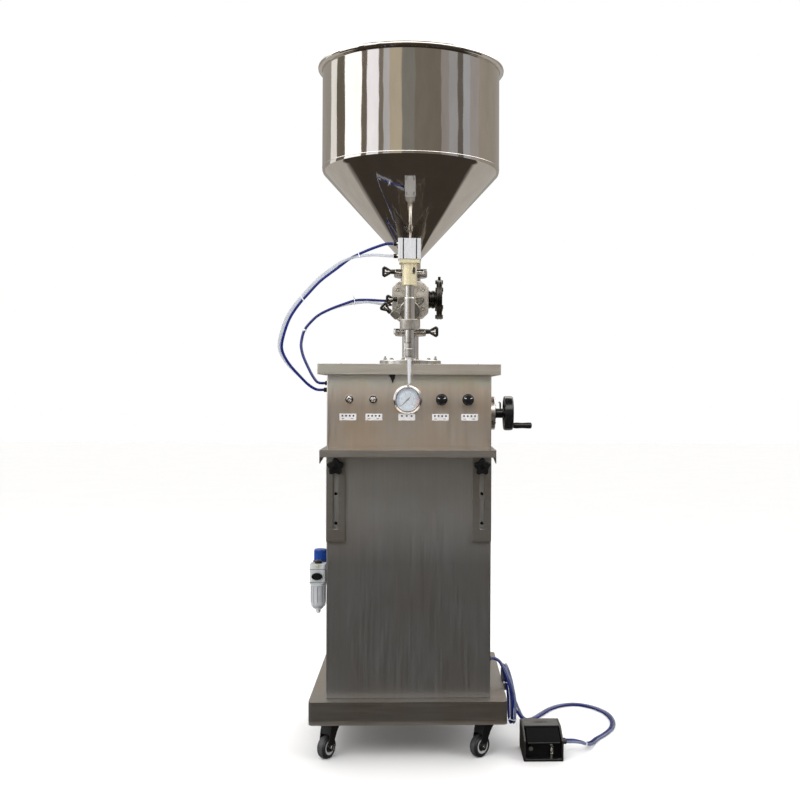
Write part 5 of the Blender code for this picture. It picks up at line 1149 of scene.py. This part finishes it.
# ---------------------------------------------------------------- filling head
def make_nozzle():
    pipe = Piece("outlet_tube")
    rear_end = ferrule(0.0085, OUTLET_FLANGE, OUTLET_TUBE, REAR_JOINT - HALF_GAP, -1)
    front_end = ferrule(0.0085, OUTLET_FLANGE, OUTLET_TUBE, FRONT_JOINT + HALF_GAP, 1)
    pipe.add(lathe(rear_end + front_end[::-1], OUTLET, "Y", 64), TUBE_STEEL)
    pipe.done("machine", "turned_stainless", ("outlet_pipe",))

    foot, yoke_low = 0.9012, 1.0357
    body = Piece("nozzle_barrel")
    body.add(lathe([(0.0062, foot), (0.0083, foot), (0.0083, 0.912), (0.01, 0.913), (0.01, 0.9412),
        (0.0062, 0.9412)], NOZZLE, "Z", 80), TUBE_STEEL)
    body.add(lathe(mm((6.2, 941.2), (20.2, 941.2), (20.5, 942), (20.5, 962.2), (20, 963), (6.2, 963)),
        NOZZLE, "Z", 80), COLLAR_STEEL)
    body.add(lathe([(0.0062, 0.963), (0.0115, 0.963), (0.0115, 1.0085), (0.01, 1.01),
        (0.01, yoke_low - 0.0003), (0.0062, yoke_low - 0.0003)], NOZZLE, "Z", 80), TUBE_STEEL)
    for z in (0.9225, 1.0098):
        body.add(lathe([(0.0098, z - 0.0004), (0.0101, z), (0.0098, z + 0.0004)], NOZZLE, "Z", 64, 0),
            DARK_STEEL)
    body.add(lathe([*ferrule(0.0056, OUTLET_FLANGE, OUTLET_TUBE, FRONT_JOINT - HALF_GAP, -1),
        (OUTLET_TUBE, NOZZLE_Y + 0.004), (0.0056, NOZZLE_Y + 0.004)], OUTLET, "Y", 64), TUBE_STEEL)
    body.done("machine", "turned_stainless", ("nozzle_body",))

    tip = Piece("nozzle_spout")
    tip.add(prism(polygon(60, 0.0093, (0, NOZZLE_Y), 0.0003), 0.8835, 0.899, "Z", 0), FLANGE_STEEL)
    tip.add(lathe(mm((2.8, 881.8), (8.6, 881.8), (9.3, 883.6), (2.8, 883.6)), NOZZLE, "Z", 60),
        FLANGE_STEEL)
    tip.add(lathe([(0.006, 0.8985), (0.0094, 0.8985), (0.009, foot - 0.0003), (0.006, foot - 0.0003)],
        NOZZLE, "Z", 60), FLANGE_STEEL)
    tip.add(lathe(mm((1.9, 824), (2.6, 824), (3, 830), (4.4, 878), (4.5, 882.2), (2.8, 882.2)), NOZZLE,
        "Z", 48), ALUMINIUM)
    tip.done("machine", "turned_stainless", ("nozzle_tip",))

    plate_low, plate_high, half = 1.0823, 1.09, 0.0223
    yoke = Piece("brass_yoke")
    yoke.add(lathe([(0.0036, yoke_low), (0.015, yoke_low), (0.0157, yoke_low + 0.001),
        (0.0157, plate_low + 0.001), (0.0036, plate_low + 0.001)], NOZZLE, "Z", 80), BRASS)
    yoke.add(prism(rounded(-half, half, NOZZLE_Y - half, NOZZLE_Y + half, 0.002), plate_low, plate_high,
        "Z", 0.0006), BRASS)
    # A black plug fills the yoke's window: painted shade where the opening is.
    painted_shade_window = polygon(32, 0.0035, (0.0093, 1.0667), rise=0.0075)
    front_y = NOZZLE_Y - math.sqrt(0.0157 ** 2 - 0.0093 ** 2)
    yoke.add(prism(painted_shade_window, front_y - 0.0023, front_y + 0.004, "Y", 0), INK)
    ring = [(u, front_y - 0.0012 + 0.8 * (u - 0.0093), v) for u, v in painted_shade_window]
    yoke.add(sweep(ring, 0.0005, True, 8), BRASS)
    for x in (-0.017, 0.017):
        yoke.add(lathe([(0, plate_low - 0.0004), (0.003, plate_low - 0.0004), (0.003, plate_low + 0.0005),
            (0, plate_low + 0.0005)], (x, NOZZLE_Y - 0.017, 0), "Z", 20, 0.0002), DARK_STEEL)
    yoke.done("machine", "machined_brass", ("nozzle_yoke",))

    h = 0.0245
    low, high = 1.0903, 1.1347
    front_face = NOZZLE_Y - h
    motor = Piece("nozzle_motor")
    grooves = []
    for x in (-0.013, 0.015):
        grooves += [(x - 0.0014, front_face), (x - 0.0011, front_face + 0.003),
            (x + 0.0011, front_face + 0.003), (x + 0.0014, front_face)]
    plan = rounded(-h, h, front_face, NOZZLE_Y + h, 0.0035)
    cut_in = next(k for k, (u, v) in enumerate(plan) if v < front_face + 1e-6 and u > 0)
    plan = plan[:cut_in] + grooves + plan[cut_in:]
    motor.add(prism(plan, low + 0.0003, high - 0.0002, "Z", 0.0), ALUMINIUM)
    # Black strips along the grooves' floors: painted shade in the grooves.
    for x in (-0.013, 0.015):
        motor.add(block((x - 0.0012, front_face + 0.0022, low + 0.0008),
            (x + 0.0012, front_face + 0.0032, high - 0.0008), 0), INK)
    for x in (-0.0175, 0.0175):
        for y in (NOZZLE_Y - 0.0175, NOZZLE_Y + 0.0175):
            motor.add(lathe(mm((0, -1), (2.2, -1), (2.4, 0), (3.8, 0), (3.8, -1.2), (0, -1.2)),
                (x, y, high - 0.0001), "Z", 20, 0), DARK_STEEL)
    for z in (1.125, 1.099):
        motor.add(bar((-h + 0.002, NOZZLE_Y, z), (-h - 0.003, NOZZLE_Y, z), 0.0048, 24), BOLT_STEEL)
        motor.add(bar((-h - 0.0028, NOZZLE_Y, z), (-h - 0.0098, NOZZLE_Y, z), 0.0047, 24), BLACK_PLASTIC)
    motor.done("machine", "anodised_aluminium", ("nozzle_actuator",))

    skin("nozzle_plunger", "nozzle_needle", 0.0002, TUBE_STEEL, "turned_stainless", "nozzle_needle")


def rounded(x0, x1, y0, y1, radius, steps=5):
    """Outline of a rectangle with round corners, anticlockwise from the right-hand rear corner."""
    corners = ((x1 - radius, y1 - radius, 0), (x0 + radius, y1 - radius, 90),
        (x0 + radius, y0 + radius, 180), (x1 - radius, y0 + radius, 270))
    points = []
    for cx, cy, first in corners:
        for k in range(steps + 1):
            angle = math.radians(first + 90 * k / steps)
            points.append((cx + radius * math.cos(angle), cy + radius * math.sin(angle)))
    return points


# ---------------------------------------------------------------- air side
def make_air_unit():
    low, high, half = 0.365, 0.415, 0.018
    front, rear = (FRL_X, FRL_FRONT_Y, 0), (FRL_X, FRL_REAR_Y, 0)
    body = Piece("air_unit_block")
    rear_high = 0.4021
    for y, top in ((FRL_FRONT_Y, high), (FRL_REAR_Y, rear_high)):
        body.add(prism(rounded(FRL_X - half, FRL_X + half, y - half, y + half, 0.006), low + 0.006, top,
            "Z", 0.0014), WHITE_PAINT)
        body.add(lathe([(0, low), (0.0178, low), (0.018, low + 0.007), (0, low + 0.007)], (FRL_X, y, 0),
            "Z", 48), WHITE_PAINT)
    body.add(block((FRL_X - 0.01, FRL_FRONT_Y, 0.382), (FRL_X + 0.01, FRL_REAR_Y, 0.402), 0.001),
        WHITE_PAINT)
    body.add(block((FRL_X + 0.012, FRL_FRONT_Y - 0.01, 0.375), (-SIDE - 0.0003, FRL_REAR_Y + 0.01, 0.401),
        0.0008), DARK_STEEL)
    body.add(lathe([(0, high), (0.0085, high), (0.0078, high + 0.006), (0.005, high + 0.008),
        (0, high + 0.008)], front, "Z", 40), DARK_STEEL)
    body.add(lathe([(0, rear_high), (0.012, rear_high), (0.012, rear_high + 0.0028),
        (0, rear_high + 0.0028)], rear, "Z", 40), WHITE_PAINT)
    face = FRL_FRONT_Y - half
    oval = polygon(40, 0.0125, (FRL_X - 0.001, 0.388), rise=0.008)
    body.add(prism(oval, face - 0.0058, face + 0.002, "Y", 0.001), BLACK_PLASTIC)
    body.add(hexagon((FRL_X - 0.001, face + 0.001, 0.4115), (FRL_X - 0.001, face - 0.004, 0.4115), 0.007),
        BRASS)
    for side in (-1, 1):
        body.add(block((FRL_X + side * half - 0.0006, FRL_FRONT_Y - 0.008, 0.368),
            (FRL_X + side * half + 0.0004, FRL_FRONT_Y + 0.008, 0.412), 0.0003), LABEL_WHITE)
    for z in (0.403, 0.3735):
        body.add(block((FRL_X - half - 0.0002, face - 0.0003, z), (FRL_X + half + 0.0002, face + 0.001,
            z + 0.0009), 0.0), INK)
    body.done("machine", "anodised_aluminium", ("frl_body",))

    bowl = Piece("air_unit_bowl")
    bowl.add(lathe([(0.0148, low - 0.0004), (0.0175, low - 0.0004), (0.0175, 0.3235), (0.016, 0.318),
        (0.012, 0.314), (0.006, 0.3122), (0.006, 0.314), (0.0105, 0.3158), (0.0142, 0.3195),
        (0.015, 0.3245)], front, "Z", 64), BOWL_CLEAR)
    for k in range(10):
        a = math.tau * (k + 0.5) / 10
        x, y = FRL_X + 0.0166 * math.cos(a), FRL_FRONT_Y + 0.0166 * math.sin(a)
        bowl.add(bar((x, y, 0.327), (x, y, 0.3635), 0.0011, 8), TREAD)
    bowl.add(lathe(mm((0, 327), (6, 329), (7.5, 340), (7.5, 356), (10.5, 358), (10.5, 362), (0, 362.5)),
        front, "Z", 40), WHITE_PAINT)
    bowl.add(lathe(mm((0, 301.5), (3.6, 301.5), (5.5, 304), (5.5, 309), (10, 311.8), (11.2, 314),
        (0, 314)), front, "Z", 32), LABEL_WHITE)
    bowl.add(lathe(mm((9, 319), (12, 316), (14.6, 321.2), (14.6, 323.2), (9, 323.2)), front, "Z", 48),
        DARK_STEEL)
    bowl.done("machine", "clear_plastic", ("frl_bowl",))

    foot = rear_high + 0.0033
    knob = Piece("regulator_cap")
    knob.add(prism(polygon(56, 0.0142, (FRL_X, FRL_REAR_Y), 0.0007), foot + 0.0085, foot + 0.031, "Z", 0),
        BLUE_PLASTIC)
    knob.add(lathe([(0, foot), (0.0168, foot), (0.0172, foot + 0.006), (0.016, foot + 0.009),
        (0, foot + 0.009)], rear, "Z", 56, 0.0008), BLUE_DARK)
    knob.add(lathe([(0, foot + 0.0305), (0.0148, foot + 0.0305), (0.0142, foot + 0.0335),
        (0.0128, foot + 0.0352), (0, foot + 0.0352)], rear, "Z", 56, 0.0008), BLUE_PLASTIC)
    knob.done("frl_knob", "blue_plastic", ("frl_knob",))

    skin("solenoid_manifold", "solenoid_block", 0.001, ALUMINIUM, "anodised_aluminium")
    skin("sensor_nut", "sensor_carriage", 0.0005, BRASS, "machined_brass", "sensor_carriage")

    glands = Piece("hose_glands")
    for side, y, z in ((-1, 0.04, 0.8115), (-1, 0.048, 0.8115), (-1, 0.072, 0.8265), (-1, 0.08, 0.8265),
                       (1, 0.13, 0.19), (1, 0.1375, 0.19)):
        collar = mm((3.2, 0.2), (5, 0.2), (5, 10), (3.2, 10.1))
        glands.add(lathe([(r, side * (SIDE + out)) for r, out in collar], (0, y, z), "X", 28, 0.0004),
            BLACK_PLASTIC)
    glands.done("machine", "black_plastic")


def make_pedal():
    left, right, wall = 0.253, 0.3405, 0.0045
    front, back, top = -0.018, 0.09, 0.0638
    housing = Piece("pedal_casting")
    cheek = [(front, 0.004), (back, 0.004), (back, top - 0.006), (back - 0.005, top - 0.0002),
        (0.03, top - 0.0002), (front, 0.0435)]
    for x0 in (left, right - wall):
        housing.add(prism(cheek, x0, x0 + wall, "X", 0.0009), BLACK_PAINT)
    housing.add(prism([(0.01, 0.004), (back - 0.0004, 0.004), (back - 0.0004, top - 0.0065),
        (back - 0.0056, top - 0.0012), (0.032, top - 0.0012), (0.032, 0.0525), (0.021, 0.049),
        (0.01, 0.043)], left + 0.001, right - 0.001, "X", 0.0006), BLACK_PAINT)
    housing.add(prism(rounded(left + 0.0045, right - 0.0045, 0.0322, back - 0.005, 0.003), top - 0.0016,
        top, "Z", 0.0004), BLACK_RUBBED)
    housing.add(prism(rounded(left + 0.028, right - 0.028, 0.053, 0.066, 0.004), top - 0.0004,
        top + 0.0002, "Z", 0.0001), BLACK_PAINT)
    housing.add(prism(rounded(left, right, front, back, 0.003), 0.0, 0.005, "Z", 0.001), BLACK_PAINT)
    for x0 in (left, right - wall):
        ridge = [(x0 + wall / 2, front + 0.0012, 0.044), (x0 + wall / 2, 0.03, top + 0.0001 - 0.0008),
            (x0 + wall / 2, back - 0.006, top - 0.0008)]
        housing.add(sweep(smooth_route(ridge, 0.006), 0.0012), BLACK_RUBBED)
        housing.add(bar((x0 + wall / 2, front + 0.0008, 0.006), (x0 + wall / 2, front + 0.0008, 0.0435),
            0.0009, 10), BLACK_RUBBED)
    housing.add(bar((left + 0.003, front + 0.0008, 0.0046), (right - 0.003, front + 0.0008, 0.0046),
        0.0009, 10), BLACK_RUBBED)
    housing.add(bar((0.316, -0.002, 0.004), (0.316, -0.002, 0.038), 0.003, 24), BOLT_STEEL)
    spring = [(0.316 + 0.0044 * math.cos(a), -0.002 + 0.0044 * math.sin(a), 0.012 + 0.0032 * a / math.tau)
        for a in (math.tau * k / 16 for k in range(16 * 7))]
    housing.add(sweep(spring, 0.0007, segments=8), CHROME)
    housing.add(bar((left + 0.016, -0.01, 0.0272), (left + 0.016, -0.0155, 0.0272), 0.0048, 24),
        BLACK_RUBBED)
    housing.add(bar((left + 0.016, 0.0102, 0.0272), (left + 0.016, -0.0105, 0.0272), 0.0032, 16),
        BLACK_PAINT)
    for x in (left + 0.0075, right - 0.0085):
        housing.add(bar((x, front + 0.004, 0.0048), (x, front + 0.004, 0.0062), 0.0026, 20), BOLT_STEEL)
    for y in (0.022, 0.036):
        housing.add(bar((right - 0.002, y, 0.03), (right + 0.004, y, 0.03), 0.0048, 24), BOLT_STEEL)
        housing.add(bar((right + 0.004, y, 0.03), (right + 0.0109, y, 0.03), 0.0046, 24), BLACK_PLASTIC)
    housing.done("machine", "black_paint", ("pedal_housing",))

    py, pz = 0.027, 0.0605
    near, far = left + wall + 0.003, right - wall - 0.003
    tread = Piece("pedal_plate")
    tread.add(prism([(py + 0.001, pz + 0.0032), (-0.0213, 0.0438), (-0.0216, 0.0405), (-0.02, 0.04),
        (py - 0.001, pz - 0.002)], near, far, "X", 0.0006), TREAD_BLACK)
    tread.add(bar((left + wall + 0.0006, py, pz), (right - wall - 0.0006, py, pz), 0.0034, 20), TREAD_BLACK)
    tread.add(bar((near + 0.001, -0.0212, 0.0424), (far - 0.001, -0.0212, 0.0424), 0.0008, 10),
        BLACK_RUBBED)
    tread.done("pedal_tread", "black_paint", ("pedal_tread",))


# ---------------------------------------------------------------- studio
def make_floor():
    s = Shader("floor_paper", (0.93, 0.93, 0.93), 0.75)
    grain = s.noise(3.0, (1, 1, 1), 3.0, 0.5)
    s.tint((0.95, 0.957, 0.975), s.remap(grain, 0.99, 1.01))
    # Reflections see the floor as a glowing colour, near black in front and pale grey further back: a
    # painted reflection.
    rays = s.node("LightPath")
    dark = s.node("Emission")
    far = s.remap(s.along("Y"), 0.0, 1.0, 0.4, 0.65)
    s.feed(dark.inputs["Color"], s.blend(far, (0.052, 0.043, 0.035), (0.5, 0.48, 0.45)))
    mix = s.by_ray(rays, "Is Glossy Ray", s.main.outputs["BSDF"], dark.outputs["Emission"])
    s.feed(s.tree.nodes["Material Output"].inputs["Surface"], mix)
    bm = bmesh.new()
    bmesh.ops.create_grid(bm, x_segments=1, y_segments=1, size=14.0)
    mesh = bpy.data.meshes.new("floor")
    bm.to_mesh(mesh)
    bm.free()
    mesh.materials.append(s.material)
    floor = bpy.data.objects.new("floor", mesh)
    bpy.context.scene.collection.objects.link(floor)
    floor.location.z = -0.0002


# bearing from the operator's side in degrees (positive to the right), then the light seen there
SURROUNDINGS = (
    (-180, (0.36, 0.34, 0.31)), (-124, (1.0, 0.99, 0.97)), (-111, (0.17, 0.15, 0.12)),
    (-93, (1.6, 1.6, 1.62)), (-65, (0.19, 0.16, 0.13)), (-59, (1.15, 1.15, 1.22)),
    (-41, (0.24, 0.21, 0.17)), (-36, (0.56, 0.56, 0.58)), (-28, (0.53, 0.47, 0.365)),
    (-12, (0.24, 0.235, 0.21)), (5, (0.205, 0.18, 0.15)), (39, (0.34, 0.31, 0.3)),
    (48, (0.385, 0.385, 0.395)), (61, (0.15, 0.135, 0.12)), (70, (0.44, 0.45, 0.48)),
    (81, (0.4, 0.37, 0.36)), (98, (0.36, 0.325, 0.28)), (140, (0.36, 0.34, 0.31)),
)

# What reflections see overhead: a bright dome, and a dark crown straight above.
DOME_LIGHT = (3.4, 3.3, 3.15)
CROWN_DARK = (0.1, 0.085, 0.07)


def make_world():
    world = bpy.data.worlds.new("studio")
    bpy.context.scene.world = world
    world.use_nodes = True
    g = Graph(world.node_tree)
    seen = g.tree.nodes["Background"]
    seen.inputs["Color"].default_value = (1.0, 1.0, 1.0, 1.0)
    seen.inputs["Strength"].default_value = 1.0
    coords = g.node("TexCoord")
    split = g.node("SeparateXYZ", {"Vector": coords.outputs["Generated"]})
    flip = g.node("Math", {0: split.outputs["Y"], 1: -1.0}, operation="MULTIPLY")
    bearing = g.node("Math", {0: split.outputs["X"], 1: flip.outputs["Value"]}, operation="ARCTAN2")
    share = g.node("MapRange", {"From Min": -math.pi, "From Max": math.pi,
        "Value": bearing.outputs["Value"]})
    ramp = g.node("ValToRGB", {"Fac": share.outputs["Result"]})
    ramp.color_ramp.interpolation = "CONSTANT"
    stops = ramp.color_ramp.elements
    for k, (angle, colour) in enumerate(SURROUNDINGS):
        stop = stops[k] if k < 2 else stops.new((angle + 180) / 360)
        stop.position = (angle + 180) / 360
        stop.color = (*colour, 1.0)
    sky = ramp.outputs["Color"]
    for low, high, colour in ((0.36, 0.62, DOME_LIGHT), (0.78, 0.9, CROWN_DARK)):
        rise = g.node("MapRange", {"From Min": low, "From Max": high, "Value": split.outputs["Z"]},
            interpolation_type="SMOOTHSTEP")
        sky = g.blend(rise.outputs["Result"], sky, colour)
    room = g.node("Background", {"Color": sky, "Strength": 1.0})
    soft = g.node("Background", {"Color": (1.0, 0.99, 0.97, 1.0), "Strength": 0.98})
    rays = g.node("LightPath")
    glossy = g.by_ray(rays, "Is Glossy Ray", soft.outputs["Background"], room.outputs["Background"])
    final = g.by_ray(rays, "Is Camera Ray", glossy, seen.outputs["Background"])
    g.feed(g.tree.nodes["World Output"].inputs["Surface"], final)


def make_light(name, place, aim, size, power):
    """A soft area light that reflections don't see."""
    data = bpy.data.lights.new(name, "AREA")
    data.shape = "RECTANGLE"
    data.size, data.size_y = size
    data.energy = power
    data.color = (1.0, 0.985, 0.96)
    light = bpy.data.objects.new(name, data)
    bpy.context.scene.collection.objects.link(light)
    light.location = place
    light.rotation_euler = (Vector(aim) - Vector(place)).to_track_quat("-Z", "Y").to_euler()
    light.visible_glossy = False


def make_studio():
    make_floor()
    make_world()
    make_light("key", (-1.4, -2.6, 2.6), (0.0, 0.1, 0.9), (1.8, 1.8), 60.0)
    make_light("fill", (2.4, -1.6, 1.4), (0.0, 0.1, 0.8), (1.5, 1.8), 22.0)
    make_light("rim", (0.6, 2.6, 2.4), (0.0, 0.1, 1.0), (1.8, 1.4), 30.0)


# ---------------------------------------------------------------- all of it
make_camera()
hose_routes = make_hoses()
make_ties(hose_routes)
make_casings()
make_casters()
make_shelf_knobs()
make_panel()
make_gauge()
make_handwheel()
make_hopper()
make_column()
make_valve()
make_clamps()
make_nozzle()
make_air_unit()
make_pedal()
make_studio()

bpy.context.view_layer.update()
